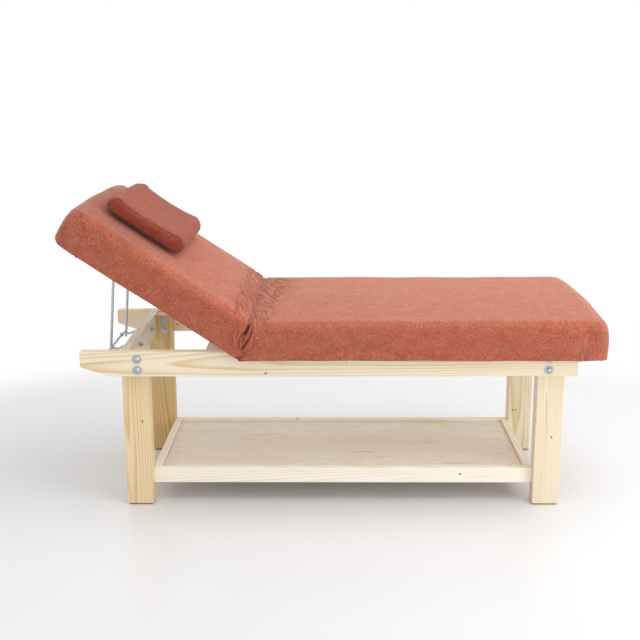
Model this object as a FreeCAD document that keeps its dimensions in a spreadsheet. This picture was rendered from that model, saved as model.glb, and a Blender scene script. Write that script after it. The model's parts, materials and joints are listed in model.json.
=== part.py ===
import FreeCAD, Part

# A pine beauty couch: a bolted frame on four legs with a storage shelf, a fixed seat cushion,
# a hinged back cushion held up by a steel bail that stands in a wavy wire rack, and a loose pillow.
# Millimetres, +Z up, +X from head to foot, origin on the floor under the middle of the whole couch.

import math
import os
import re
from types import SimpleNamespace

import Sketcher
from FreeCAD import Placement, Rotation, Vector

SIZES = {
    # Side rails: two planks outside the legs, with a bevelled lower corner at the head end
    "rail_foot_overhang": 36,
    "rail_height": 84,
    "rail_thickness": 32,
    "rail_top": 548,
    "rail_head_reach": 527,
    "rail_head_end_height": 52,
    "rail_head_bevel_run": 98,
    "frame_width": 652,
    "wood_ease": 1.5,
    # Legs, notched at the top for the end crossbeams
    "leg_width": 88,
    "leg_depth": 58,
    "leg_top_drop": 6,
    "head_leg_reach": 398,
    "foot_leg_reach": 1067,
    "foot_pad_thickness": 4,
    "foot_pad_inset": 7,
    # Crossbeams between the side rails
    "beam_thickness": 30,
    "inner_beam_thickness": 44,
    "inner_beam_height": 60,
    "middle_beam_reach": 117,
    "seat_beam_reach": 430,
    "dowel_dia": 10,
    "dowel_length": 50,
    "dowel_depth_in_rail": 20,
    "dowel_spacing": 30,
    # Bolts through rail and leg, with washers and nuts
    "bolt_dia": 10,
    "bolt_hole_ease": 0.5,
    "bolt_upper_drop": 25,
    "bolt_lower_drop": 62,
    "bolt_head_dia": 19,
    "bolt_head_height": 6,
    "bolt_tail": 3,
    "washer_dia": 30,
    "washer_thickness": 2,
    "nut_across_corners": 18,
    "nut_height": 8,
    # Wood screws in the end crossbeams
    "beam_screw_dia": 5,
    "beam_screw_length": 50,
    "beam_screw_head_dia": 11,
    "beam_screw_head_height": 3,
    "beam_screw_upper_drop": 14,
    "beam_screw_lower_drop": 46,
    # Storage shelf: a frame between the legs with a recessed panel on battens
    "shelf_top": 124,
    "shelf_rail_height": 54,
    "shelf_rail_thickness": 24,
    "shelf_inset": 26,
    "shelf_dowel_length": 40,
    "shelf_dowel_spacing": 26,
    "panel_thickness": 9,
    "panel_recess": 10,
    "panel_ease": 1,
    "batten_size": 18,
    # Cushions: board, foam and a fitted cover that hangs a little below the board
    "seat_length": 1196,
    "back_length": 701,
    "cushion_width": 738,
    "seat_rise": 115,
    "back_rise": 119,
    "cushion_crown": 8,
    "seat_hem_drop": 24,
    "back_hem_drop": 20,
    "hem_tuck": 10,
    "side_draw": 6,
    "shoulder_round": 34,
    "end_round": 45,
    "nose_share": 0.07,
    "head_end_top_drop": 24,
    "foot_end_top_drop": 34,
    "end_width_draw": 36,
    "head_end_low_rise": 20,
    "foot_end_low_rise": 2,
    "cover_thickness": 3,
    "foam_ease": 0.3,
    "board_thickness": 15,
    "board_ease": 2,
    "board_end_inset": 34,
    "board_corner_round": 62,
    "skirt_ease": 0.5,
    "crease_gap": 1,
    # Back hinge: two butt hinges under the boards
    "back_tilt": 33.7,
    "back_lift": 4,
    "back_rest_gap": 0.5,
    "board_gap": 18,
    "knuckle_dia": 10,
    "knuckle_length": 30,
    "knuckle_gap": 0.5,
    "leaf_thickness": 2.5,
    "leaf_reach": 58,
    "leaf_setback": 6.5,
    "hinge_inset": 64,
    "pin_dia": 6,
    "pin_ease": 0.1,
    "pin_head_dia": 9,
    "pin_head_height": 2,
    "leaf_screw_dia": 4,
    "leaf_screw_length": 12,
    "leaf_screw_head_dia": 8,
    "leaf_screw_head_height": 2,
    "leaf_screw_near": 22,
    "leaf_screw_far": 46,
    "leaf_screw_spread": 30,
    # Bail that props the back, and its two brackets under the back board
    "bail_wire_dia": 9,
    "bail_lean": 4.6,
    "bail_foot_setback": 12.4,
    "bail_foot_drop": 9.9,
    "bail_half_width": 135,
    "bail_bend": 20,
    "bail_pivot_drop": 14,
    "bracket_spread": 70,
    "bracket_length": 46,
    "bracket_width": 26,
    "bracket_plate": 3,
    "bracket_ear_thickness": 8,
    "bracket_ear_dia": 18,
    "bracket_bore_ease": 0.16,
    "bracket_screw_spread": 32,
    # Wire rack on the head crossbeam that the bail stands in
    "rack_wire_dia": 8,
    "rack_bar_dia": 9,
    "rack_arm_spread": 112,
    "rack_drop": 30,
    "rack_hole_ease": 0.6,
    "rack_thread": 14,
    "rack_shoulder_out": 12,
    "rack_trough_out": 52,
    "rack_trough_drop": 18,
    "rack_crest_out": 66,
    "rack_crest_drop": 10,
    "rack_tip_out": 80,
    "rack_tip_drop": 24,
    "rack_bend": 7,
    "rack_bar_half": 126,
    "rack_washer_dia": 18,
    "rack_washer_thickness": 1.6,
    "rack_nut_across_corners": 15,
    "rack_nut_height": 6.5,
    "rack_cap_dia": 13,
    "rack_cap_length": 10,
    "rack_cap_depth": 8,
    # Loose pillow near the head end of the back
    "pillow_reach": 338,
    "pillow_length": 292,
    "pillow_width": 462,
    "pillow_head_height": 69,
    "pillow_waist_height": 57,
    "pillow_foot_height": 68,
    "pillow_end_draw": 15,
    "pillow_end_drop": 3,
    "pillow_end_lift": 9,
    "pillow_side_round": 34,
    "pillow_ease": 0.6,
    # How far cutting tools run past what they cut
    "overrun": 40,
}

DERIVED = {
    "hinge_z": "rail_top - knuckle_dia / 2",
    "back_base": "rail_top + back_rest_gap",
    "nose_fall_share": "1 - sqrt(1 - (1 - nose_share) ^ 2)",
    "nose_z": "back_base - back_hem_drop + nose_fall_share * head_end_low_rise - hinge_z",
    "nose_length": "back_length - nose_share * end_round",
    "back_reach": "nose_length * cos(back_tilt * 1deg) - nose_z * sin(back_tilt * 1deg)",
    "hinge_x": "(back_reach - seat_length) / 2",
    "tilt_shift_x": "hinge_x - hinge_x * cos(back_tilt * 1deg) - hinge_z * sin(back_tilt * 1deg)",
    "tilt_shift_z": "hinge_z + hinge_x * sin(back_tilt * 1deg) - hinge_z * cos(back_tilt * 1deg)",
    "inner_width": "frame_width - 2 * rail_thickness",
    "rail_length": "rail_head_reach + foot_leg_reach + rail_foot_overhang",
    "hinge_spread": "inner_width / 2 - hinge_inset",
    "rail_centre": "(frame_width - rail_thickness) / 2",
    "leg_centre": "(inner_width - leg_depth) / 2",
    "leg_height": "rail_top - leg_top_drop - foot_pad_thickness",
    "head_leg_x": "hinge_x - head_leg_reach",
    "foot_leg_x": "hinge_x + foot_leg_reach - leg_width",
    "foot_beam_x": "hinge_x + foot_leg_reach - beam_thickness",
    "neck_half": "(leg_width - beam_thickness) / 2",
    "head_bolt_x": "head_leg_x + beam_thickness + neck_half",
    "foot_bolt_x": "foot_leg_x + neck_half",
    "bolt_length": "rail_thickness + leg_depth + 2 * washer_thickness + nut_height + bolt_tail",
    "bolt_dome": "(bolt_head_dia ^ 2 / 4 + bolt_head_height ^ 2) / (2 * bolt_head_height)",
    "shelf_x": "head_leg_x + leg_width",
    "shelf_length": "foot_leg_x - shelf_x",
    "shelf_width": "inner_width - 2 * shelf_inset",
    "shelf_rail_centre": "(shelf_width - shelf_rail_thickness) / 2",
    "shelf_inner_width": "shelf_width - 2 * shelf_rail_thickness",
    "panel_bottom": "shelf_top - panel_recess - panel_thickness",
    "board_width": "cushion_width - 2 * (cover_thickness + hem_tuck + board_ease)",
    "bail_pivot_z": "back_base - bail_pivot_drop",
    "rack_z": "rail_top - rack_drop",
    # The bail's feet stand inside the rack's tip bar, which gives its place on the back and its length
    "pivot_drop": "bail_pivot_z - hinge_z",
    "bail_foot_x": "head_leg_x - rack_tip_out + bail_foot_setback",
    "bail_foot_z": "rack_z - rack_tip_drop - bail_foot_drop",
    "bail_run": "hinge_x + pivot_drop * sin(back_tilt * 1deg) - bail_foot_x",
    "bail_fall": "hinge_z + pivot_drop * cos(back_tilt * 1deg) - bail_foot_z",
    "bail_spread": "cos((back_tilt - bail_lean) * 1deg)",
    "bail_reach": "(bail_run * cos(bail_lean * 1deg) - bail_fall * sin(bail_lean * 1deg)) / bail_spread",
    "bail_length": "(bail_fall * cos(back_tilt * 1deg) + bail_run * sin(back_tilt * 1deg)) / bail_spread",
}

X_AXIS = Vector(1, 0, 0)
Y_AXIS = Vector(0, 1, 0)
Z_AXIS = Vector(0, 0, 1)
SIDES = {"near": -1, "far": 1}

doc = FreeCAD.newDocument("beauty_couch")
sheet = doc.addObject("Spreadsheet::Sheet", "Sizes")
for row, (name, value) in enumerate(SIZES.items(), start=1):
    sheet.set(f"A{row}", str(value))
    sheet.setAlias(f"A{row}", name)
for row, (name, formula) in enumerate(DERIVED.items(), start=1):
    sheet.set(f"B{row}", f"={formula}")
    sheet.setAlias(f"B{row}", name)
doc.recompute()
now = SimpleNamespace(**{name: float(sheet.get(name)) for name in (*SIZES, *DERIVED)})
nodes = {}


def bound(formula):
    """A formula in the sheet's words, as an expression that any object can hold."""
    known = SIZES.keys() | DERIVED.keys()
    return re.sub(r"[a-z][a-z_]*", lambda word: f"Sizes.{word[0]}" if word[0] in known else word[0], formula)


def bind(thing, **formulas):
    """Tie properties of an object to formulas."""
    for prop, formula in formulas.items():
        thing.setExpression(prop, bound(formula))


def put(thing, x="0", y="0", z="0"):
    """Tie an object's place to formulas."""
    for axis, formula in zip("xyz", (x, y, z)):
        thing.setExpression(f"Placement.Base.{axis}", bound(formula))


def keep(label, thing):
    """Make an object one of the couch's own pieces."""
    thing.Label = label
    nodes[label] = thing
    return thing


def tilt(thing):
    """Lean a piece that was made with the back lying flat to the back's rest angle."""
    thing.Placement = Placement(Vector(), Rotation(Y_AXIS, now.back_tilt))
    thing.setExpression("Placement.Rotation.Angle", bound("back_tilt"))
    put(thing, x="tilt_shift_x", z="tilt_shift_z")
    return thing


def block(length, width, height, x, y, z):
    """A box by its lowest corner."""
    box = doc.addObject("Part::Box", "Block")
    bind(box, Length=length, Width=width, Height=height)
    put(box, x, y, z)
    return box


def rod(diameter, length, x, y, z, axis=Z_AXIS):
    """A round bar from a point along an axis."""
    bar = doc.addObject("Part::Cylinder", "Rod")
    bind(bar, Radius=f"({diameter}) / 2", Height=length)
    bar.Placement = Placement(Vector(), Rotation(Z_AXIS, axis))
    put(bar, x, y, z)
    return bar


def together(kind, things):
    """A fuse or a compound of several objects."""
    joined = doc.addObject(kind, "Joined")
    if kind == "Part::Compound":
        joined.Links = things
    else:
        joined.Shapes = things
    return joined


def cut(base, tools):
    """One object with others taken out of it."""
    result = doc.addObject("Part::Cut", "Cut")
    result.Base = base
    result.Tool = tools[0] if len(tools) == 1 else together("Part::Compound", tools)
    return result


def solid(shape):
    """A piece whose shape is made directly from the sizes."""
    piece = doc.addObject("Part::Feature", "Solid")
    piece.Shape = shape
    return piece


def plank(outline, width, x, y, z):
    """A planed board: an outline in X and Z, as wide as given about y, with eased edges."""
    body = doc.addObject("PartDesign::Body", "Plank")
    sketch = body.newObject("Sketcher::SketchObject", "Outline")
    plane = next(item for item in body.Origin.OriginFeatures if item.Role == "XZ_Plane")
    sketch.AttachmentSupport = [(plane, "")]
    sketch.MapMode = "FlatFace"
    count = len(outline)
    spots = [Vector(index, index * index, 0) for index in range(count)]
    for index in range(count):
        sketch.addGeometry(Part.LineSegment(spots[index], spots[(index + 1) % count]), False)
    for index in range(count):
        sketch.addConstraint(Sketcher.Constraint("Coincident", index, 2, (index + 1) % count, 1))
    for index, corner in enumerate(outline):
        for kind, formula, start in zip(("DistanceX", "DistanceY"), corner, spots[index]):
            held = sketch.addConstraint(Sketcher.Constraint(kind, -1, 1, index, 1, start))
            sketch.setExpression(f"Constraints[{held}]", bound(formula))
    pad = body.newObject("PartDesign::Pad", "Pad")
    pad.Profile = sketch
    pad.SideType = "Symmetric"
    bind(pad, Length=width)
    eased = body.newObject("PartDesign::Chamfer", "Eased")
    eased.Base = (pad, [""])
    eased.UseAllEdges = True
    bind(eased, Size="wood_ease")
    put(body, x, y, z)
    return body


def rectangle(length, height):
    """The corners of a plain plank's outline."""
    return (("0", "0"), (length, "0"), (length, height), ("0", height))


def screw(diameter, length, head_diameter, head_height):
    """A pan-head screw that points up from the underside of its head at zero."""
    shank = rod(diameter, f"{length} + {head_height}", "0", "0", f"-{head_height}")
    head = rod(head_diameter, head_height, "0", "0", f"-{head_height}")
    return together("Part::MultiFuse", [shank, head])


def ring(outer, inner, height):
    """A washer on the XY plane."""
    hole = rod(inner, f"{height} + 2 * overrun", "0", "0", "-overrun")
    return cut(rod(outer, height, "0", "0", "0"), [hole])


def nut(corners, inner, height):
    """A hexagon nut on the XY plane."""
    prism = doc.addObject("Part::Prism", "Hexagon")
    prism.Polygon = 6
    bind(prism, Circumradius=f"{corners} / 2", Height=height)
    hole = rod(inner, f"{height} + 2 * overrun", "0", "0", "-overrun")
    return cut(prism, [hole])


def copies(pattern, spots):
    """Copies of one fastener, each at a point and turned so that its +Z runs along an axis."""
    doc.recompute()
    turned = []
    for point, axis in spots:
        shape = pattern.Shape.copy()
        shape.Placement = Placement(point, Rotation(Z_AXIS, axis))
        turned.append(shape)
    return solid(Part.makeCompound(turned))


def bent_path(points, bend):
    """Straight runs through points, joined by tangent arcs of one radius."""
    edges = []
    start = points[0]
    for before, corner, after in zip(points, points[1:], points[2:]):
        to_before = (before - corner).normalize()
        to_after = (after - corner).normalize()
        half_turn = (math.pi - to_before.getAngle(to_after)) / 2
        run = bend * math.tan(half_turn)
        to_centre = (to_before + to_after).normalize()
        middle = corner + to_centre * (bend / math.cos(half_turn) - bend)
        first = corner + to_before * run
        last = corner + to_after * run
        edges.append(Part.LineSegment(start, first).toShape())
        edges.append(Part.Arc(first, middle, last).toShape())
        start = last
    edges.append(Part.LineSegment(start, points[-1]).toShape())
    return Part.Wire(edges)


def wire_along(points, diameter, bend):
    """A round wire bent along a path."""
    path = bent_path(points, bend)
    direction = points[1] - points[0]
    disc = Part.Wire([Part.makeCircle(diameter / 2, points[0], direction)])
    return path.makePipeShell([disc], True, False)


# Side rails, legs and feet

def rail_outline():
    """A side rail seen from the side, bevelled under its head end."""
    return (("0", "rail_height - rail_head_end_height"), ("rail_head_bevel_run", "0"), ("rail_length", "0"),
            ("rail_length", "rail_height"), ("0", "rail_height"))


def bolt_spots(start, direction):
    """The bolts' places on one side: two through each leg, from a distance off the couch's middle."""
    for side in SIDES.values():
        for x in (now.head_bolt_x, now.foot_bolt_x):
            for drop in (now.bolt_upper_drop, now.bolt_lower_drop):
                yield Vector(x, side * start, now.rail_top - drop), Y_AXIS * (-side * direction)


def bolt():
    """A round-headed bolt that points up from the underside of its head at zero."""
    dome = doc.addObject("Part::Sphere", "Dome")
    bind(dome, Radius="bolt_dome", Angle1="asin((bolt_dome - bolt_head_height) / bolt_dome)")
    dome.Placement = Placement(Vector(), Rotation(X_AXIS, 180))
    put(dome, z="bolt_dome - bolt_head_height")
    shank = rod("bolt_dia", "bolt_length", "0", "0", "0")
    return together("Part::MultiFuse", [shank, dome])


def make_bolts():
    """Bolts, washers and nuts that hold the rails to the legs."""
    outer = now.frame_width / 2
    inner = now.leg_centre - now.leg_depth / 2
    keep("leg_bolts", copies(bolt(), bolt_spots(outer + now.washer_thickness, 1)))
    washer = ring("washer_dia", "bolt_dia + bolt_hole_ease", "washer_thickness")
    outside = list(bolt_spots(outer, -1))
    inside = list(bolt_spots(inner, 1))
    keep("bolt_washers", copies(washer, outside + inside))
    hexagon = nut("nut_across_corners", "bolt_dia + bolt_hole_ease", "nut_height")
    keep("leg_nuts", copies(hexagon, bolt_spots(inner - now.washer_thickness, 1)))


def bolt_holes(side, columns):
    """Clearance holes through rail and leg on one side."""
    tools = []
    for x in columns:
        for drop in ("bolt_upper_drop", "bolt_lower_drop"):
            y = "-frame_width / 2 - overrun" if side < 0 else "leg_centre - leg_depth / 2 - overrun"
            through = "rail_thickness + leg_depth + 2 * overrun"
            tools.append(rod("bolt_dia + bolt_hole_ease", through, x, y, f"rail_top - {drop}", Y_AXIS))
    return tools


def beam_dowels():
    """Dowels that hold the two inner crossbeams to the side rails."""
    pin = rod("dowel_dia", "dowel_length", "0", "0", "0")
    start = now.inner_width / 2 + now.dowel_depth_in_rail
    middle = now.rail_top - now.inner_beam_height / 2
    spots = []
    for side in SIDES.values():
        for left in (now.hinge_x - now.middle_beam_reach, now.hinge_x + now.seat_beam_reach):
            for step in (-1, 1):
                z = middle + step * now.dowel_spacing / 2
                point = Vector(left + now.inner_beam_thickness / 2, side * start, z)
                spots.append((point, Y_AXIS * -side))
    return keep("crossbeam_dowels", copies(pin, spots))


def shelf_dowels():
    """Dowels between the shelf's long rails, its end rails and the legs."""
    pin = rod("dowel_dia", "shelf_dowel_length", "0", "0", "0")
    back = now.shelf_dowel_length / 2
    middle = now.shelf_top - now.shelf_rail_height / 2
    spots = []
    for side in SIDES.values():
        for step in (-1, 1):
            z = middle + step * now.shelf_dowel_spacing / 2
            for x in (now.shelf_x, now.shelf_x + now.shelf_length):
                spots.append((Vector(x - back, side * now.shelf_rail_centre, z), X_AXIS))
            inset = now.shelf_rail_thickness / 2
            for x in (now.shelf_x + inset, now.shelf_x + now.shelf_length - inset):
                end = now.shelf_inner_width / 2 + inset
                spots.append((Vector(x, side * end, middle + step * now.shelf_dowel_spacing / 4), Y_AXIS * -side))
    return keep("shelf_dowels", copies(pin, spots))


def beam_screws():
    """Screws through the end crossbeams into the legs."""
    pattern = screw("beam_screw_dia", "beam_screw_length", "beam_screw_head_dia", "beam_screw_head_height")
    spots = []
    for side in SIDES.values():
        for drop in (now.beam_screw_upper_drop, now.beam_screw_lower_drop):
            y = side * now.leg_centre
            z = now.rail_top - drop
            spots.append((Vector(now.head_leg_x, y, z), X_AXIS))
            spots.append((Vector(now.foot_leg_x + now.leg_width, y, z), -X_AXIS))
    return keep("crossbeam_screws", copies(pattern, spots))


def make_frame(dowels, shelf_pins, screws):
    """Side rails, legs, feet and the end crossbeams' notches."""
    for side_name, side in SIDES.items():
        rail = plank(rail_outline(), "rail_thickness", "hinge_x - rail_head_reach", f"{side} * rail_centre",
                     "rail_top - rail_height")
        keep(f"{side_name}_side_rail", cut(rail, [*bolt_holes(side, ("head_bolt_x", "foot_bolt_x")), dowels]))
        notch_y = f"{side} * leg_centre - leg_depth / 2 - overrun"
        for end, left, notch_x in (("head", "head_leg_x", "head_leg_x - overrun"),
                                   ("foot", "foot_leg_x", "foot_beam_x")):
            leg = plank(rectangle("leg_width", "leg_height"), "leg_depth", left, f"{side} * leg_centre",
                        "foot_pad_thickness")
            notch = block("beam_thickness + overrun", "leg_depth + 2 * overrun", "rail_height + overrun",
                          notch_x, notch_y, "rail_top - rail_height")
            holes = bolt_holes(side, (f"{end}_bolt_x",))
            keep(f"{side_name}_{end}_leg", cut(leg, [notch, *holes, screws, shelf_pins]))


def make_feet():
    """Thin pads under the legs, set in from their edges."""
    pad = block("leg_width - 2 * foot_pad_inset", "leg_depth - 2 * foot_pad_inset", "foot_pad_thickness",
                "0", "0", "0")
    y = now.leg_centre - now.leg_depth / 2 + now.foot_pad_inset
    depth = now.leg_depth - 2 * now.foot_pad_inset
    spots = []
    for x in (now.head_leg_x, now.foot_leg_x):
        for low in (-y - depth, y):
            spots.append((Vector(x + now.foot_pad_inset, low, 0), Z_AXIS))
    keep("foot_pads", copies(pad, spots))


def make_crossbeams(dowels, screws):
    """End crossbeams in the legs' notches, and two inner ones dowelled to the rails."""
    arm_holes = []
    for side in SIDES.values():
        arm_holes.append(rod("rack_wire_dia + rack_hole_ease", "beam_thickness + 2 * overrun",
                             "head_leg_x - overrun", f"{side} * rack_arm_spread", "rack_z", X_AXIS))
    for end, left, extra in (("head", "head_leg_x", arm_holes), ("foot", "foot_beam_x", [])):
        beam = plank(rectangle("beam_thickness", "rail_height"), "inner_width", left, "0",
                     "rail_top - rail_height")
        keep(f"{end}_crossbeam", cut(beam, [screws, *extra]))
    for label, left in (("middle", "hinge_x - middle_beam_reach"), ("seat", "hinge_x + seat_beam_reach")):
        beam = plank(rectangle("inner_beam_thickness", "inner_beam_height"), "inner_width", left, "0",
                     "rail_top - inner_beam_height")
        keep(f"{label}_crossbeam", cut(beam, [dowels]))


def make_shelf(pins):
    """The storage shelf between the legs."""
    bottom = "shelf_top - shelf_rail_height"
    for label, side in (("front", -1), ("back", 1)):
        rail = plank(rectangle("shelf_length", "shelf_rail_height"), "shelf_rail_thickness", "shelf_x",
                     f"{side} * shelf_rail_centre", bottom)
        keep(f"shelf_{label}_rail", cut(rail, [pins]))
    for label, left in (("head", "shelf_x"), ("foot", "shelf_x + shelf_length - shelf_rail_thickness")):
        rail = plank(rectangle("shelf_rail_thickness", "shelf_rail_height"), "shelf_inner_width", left, "0", bottom)
        keep(f"shelf_{label}_rail", cut(rail, [pins]))
    inner = "shelf_length - 2 * shelf_rail_thickness"
    battens = []
    for side in SIDES.values():
        battens.append(plank(rectangle(inner, "batten_size"), "batten_size", "shelf_x + shelf_rail_thickness",
                             f"{side} * (shelf_inner_width - batten_size) / 2", "panel_bottom - batten_size"))
    keep("shelf_battens", together("Part::Compound", battens))
    panel = plank(rectangle(f"{inner} - 2 * panel_ease", "panel_thickness"), "shelf_inner_width - 2 * panel_ease",
                  "shelf_x + shelf_rail_thickness + panel_ease", "0", "panel_bottom")
    keep("shelf_panel", panel)


# Cushions

END_SHARES = (1.0, 0.7, 0.45, 0.22, now.nose_share, 0.0)
END_CROWN_SHARE = 0.3


def cushion_section(x, half, low, high, crown, shoulder, tuck):
    """One slice across a cushion: flat below, bulged sides, round shoulders and a crowned top."""
    side_top = high - shoulder
    bulge = (low + side_top) / 2
    diagonal = shoulder * math.sqrt(0.5)
    right = [Vector(x, half - tuck, low), Vector(x, half, bulge), Vector(x, half, side_top),
             Vector(x, half - shoulder + diagonal, side_top + diagonal), Vector(x, half - shoulder, high)]
    left = [Vector(x, -point.y, point.z) for point in right]
    top = Vector(x, 0, high + crown)
    return Part.Wire([
        Part.LineSegment(left[0], right[0]).toShape(),
        Part.Arc(right[0], right[1], right[2]).toShape(),
        Part.Arc(right[2], right[3], right[4]).toShape(),
        Part.Arc(right[4], top, left[4]).toShape(),
        Part.Arc(left[4], left[3], left[2]).toShape(),
        Part.Arc(left[2], left[1], left[0]).toShape(),
    ])


def cushion_form(kind, low, low_rise, inset):
    """A cushion from the hinge outwards: sides drawn in at mid-length, the far end rounded off."""
    reach = kind.length - inset
    stations = [(-now.overrun, 0, 0), (reach / 2, 0, now.side_draw)]
    for share in END_SHARES:
        stations.append((reach - share * now.end_round, 1 - math.sqrt(1 - (1 - share) ** 2), 0))
    sections = []
    for distance, fall, draw in stations:
        half = now.cushion_width / 2 - inset - draw - fall * now.end_width_draw
        high = kind.base + kind.rise - inset - fall * kind.top_drop
        crown = now.cushion_crown * (1 - fall * (1 - END_CROWN_SHARE))
        shoulder = now.shoulder_round * (1 - fall / 2)
        x = now.hinge_x + kind.direction * distance
        sections.append(cushion_section(x, half, low + fall * low_rise, high, crown, shoulder, now.hem_tuck))
    return Part.makeLoft(sections, True, True)


def hinge_end(direction):
    """What is cut off a cushion at the hinge, so that two of them meet face to face with the back lifted."""
    lean = math.tan(math.radians((now.back_tilt + now.back_lift) / 2))
    high = now.rail_top + now.back_rise + now.overrun
    low = now.rail_top - now.seat_hem_drop - now.overrun
    lip = now.hinge_x + direction * now.crease_gap
    outer = now.hinge_x - direction * 2 * now.overrun
    side = -now.cushion_width
    corners = [(outer, low), (lip, low), (lip, now.hinge_z),
               (lip + direction * lean * (high - now.hinge_z), high), (outer, high), (outer, low)]
    outline = Part.makePolygon([Vector(x, side, z) for x, z in corners])
    return Part.Face(outline).extrude(Y_AXIS * (-2 * side))


def board_block(direction, length, start, base, spare, height):
    """A cushion's base board, square towards the hinge and round-cornered at its far end."""
    end = f"{length} - board_end_inset + {spare}"
    reach = f"{end} - ({start})"
    x = f"hinge_x + {start}" if direction > 0 else f"hinge_x - ({end})"
    box = block(reach, f"board_width + 2 * {spare}", height, x, f"-board_width / 2 - {spare}", base)
    doc.recompute()
    far = box.Shape.BoundBox.XMax if direction > 0 else box.Shape.BoundBox.XMin
    radius = now.board_corner_round
    rounded = doc.addObject("Part::Fillet", "Board")
    rounded.Base = box
    rounded.Edges = [(number, radius, radius) for number, edge in enumerate(box.Shape.Edges, start=1)
                     if edge.BoundBox.ZLength > edge.BoundBox.YLength and abs(edge.BoundBox.XMin - far) < now.foam_ease
                     and edge.BoundBox.XLength < now.foam_ease]
    return rounded


CUSHIONS = {
    "seat": SimpleNamespace(direction=1, length=now.seat_length, base=now.rail_top, rise=now.seat_rise,
                            hem=now.seat_hem_drop, low_rise=now.foot_end_low_rise, top_drop=now.foot_end_top_drop),
    "back": SimpleNamespace(direction=-1, length=now.back_length, base=now.back_base, rise=now.back_rise,
                            hem=now.back_hem_drop, low_rise=now.head_end_low_rise, top_drop=now.head_end_top_drop),
}


def make_cushion(label, length, base, holes):
    """Board, foam and fitted cover of one half of the couch, made lying flat."""
    kind = CUSHIONS[label]
    board_top = kind.base + now.board_thickness
    board = cut(board_block(kind.direction, length, "board_gap / 2", base, "0", "board_thickness"), holes)
    cutter = hinge_end(kind.direction)
    inner_rise = kind.low_rise / 2
    foam = cushion_form(kind, board_top, inner_rise, now.cover_thickness + now.foam_ease).cut(cutter)
    skirt = board_block(kind.direction, length, "-overrun", f"{base} - {label}_hem_drop - overrun", "skirt_ease",
                        f"board_thickness + {label}_hem_drop + overrun + foam_ease")
    doc.recompute()
    outer = cushion_form(kind, kind.base - kind.hem, kind.low_rise, 0)
    hollow = cushion_form(kind, board_top - now.foam_ease, inner_rise, now.cover_thickness)
    cover = outer.cut(hollow).cut(skirt.Shape).cut(cutter)
    return (keep(f"{label}_board", board), keep(f"{label}_foam", solid(foam)), keep(f"{label}_cover", solid(cover)))


# Hinges

def hinge_leaf(side, direction, knuckles, base):
    """One leaf under a board: a plate with tongues that run into its share of the knuckles."""
    span = "(3 * knuckle_length)"
    low = f"{side} * hinge_spread - {span} / 2"
    setback = "leaf_setback" if direction > 0 else "-leaf_reach"
    plate = block("leaf_reach - leaf_setback", span, "leaf_thickness", f"hinge_x + {setback}", low,
                  f"{base} - leaf_thickness")
    pieces = [plate]
    tongue_x = "hinge_x" if direction > 0 else "hinge_x - leaf_setback"
    for index in knuckles:
        start = f"{low} + {index} * knuckle_length + knuckle_gap / 2"
        wide = "knuckle_length - knuckle_gap"
        pieces.append(rod("knuckle_dia", wide, "hinge_x", start, "hinge_z", Y_AXIS))
        pieces.append(block("leaf_setback", wide, "leaf_thickness", tongue_x, start, f"{base} - leaf_thickness"))
    bore = rod("pin_dia + pin_ease", f"{span} + 2 * overrun", "hinge_x", f"{low} - overrun", "hinge_z", Y_AXIS)
    return cut(together("Part::MultiFuse", pieces), [bore])


def leaf_screw_spots(direction, base):
    """Where the screws go through the leaves, pointing up into the board."""
    for side in SIDES.values():
        for reach, steps in ((now.leaf_screw_near, (-1, 1)), (now.leaf_screw_far, (0,))):
            for step in steps:
                y = side * now.hinge_spread + step * now.leaf_screw_spread
                yield Vector(now.hinge_x + direction * reach, y, base - now.leaf_thickness), Z_AXIS


def leaf_screw():
    """A short screw for the hinge leaves and the bail's brackets."""
    return screw("leaf_screw_dia", "leaf_screw_length", "leaf_screw_head_dia", "leaf_screw_head_height")


def make_leaves(label, direction, knuckles, base, screws):
    """Both hinges' leaves of one half, with their screw holes."""
    leaves = [cut(hinge_leaf(side, direction, knuckles, base), [screws]) for side in SIDES.values()]
    return keep(label, together("Part::Compound", leaves))


def make_pins():
    """Hinge pins with a head at each end."""
    span = "3 * knuckle_length"
    shank = rod("pin_dia", f"{span} + 2 * pin_head_height", "0", "0", f"-{span} / 2 - pin_head_height")
    heads = [rod("pin_head_dia", "pin_head_height", "0", "0", f"-{span} / 2 - pin_head_height"),
             rod("pin_head_dia", "pin_head_height", "0", "0", f"{span} / 2")]
    pin = together("Part::MultiFuse", [shank, *heads])
    spots = [(Vector(now.hinge_x, side * now.hinge_spread, now.hinge_z), Y_AXIS) for side in SIDES.values()]
    keep("hinge_pins", copies(pin, spots))


# Bail, brackets and rack

def bracket_screw_spots():
    """Two screws in each bracket's plate, pointing up into the back board."""
    for side in SIDES.values():
        for step in (-1, 1):
            x = now.hinge_x - now.bail_reach + step * now.bracket_screw_spread / 2
            yield Vector(x, side * now.bracket_spread, now.back_base - now.bracket_plate), Z_AXIS


def make_brackets(screws):
    """Two brackets under the back board that carry the bail's top bar."""
    brackets = []
    for side in SIDES.values():
        centre = f"{side} * bracket_spread"
        plate = block("bracket_length", "bracket_width", "bracket_plate",
                      "hinge_x - bail_reach - bracket_length / 2", f"{centre} - bracket_width / 2",
                      "back_base - bracket_plate")
        ear_y = f"{centre} - bracket_ear_thickness / 2"
        ear = block("bracket_ear_dia", "bracket_ear_thickness", "bail_pivot_drop - bracket_plate",
                    "hinge_x - bail_reach - bracket_ear_dia / 2", ear_y, "bail_pivot_z")
        eye = rod("bracket_ear_dia", "bracket_ear_thickness", "hinge_x - bail_reach", ear_y, "bail_pivot_z", Y_AXIS)
        bore = rod("bail_wire_dia + bracket_bore_ease", "bracket_width + 2 * overrun", "hinge_x - bail_reach",
                   f"{centre} - bracket_width / 2 - overrun", "bail_pivot_z", Y_AXIS)
        brackets.append(cut(together("Part::MultiFuse", [plate, ear, eye]), [bore, screws]))
    tilt(keep("bail_brackets", together("Part::Compound", brackets)))


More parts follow.
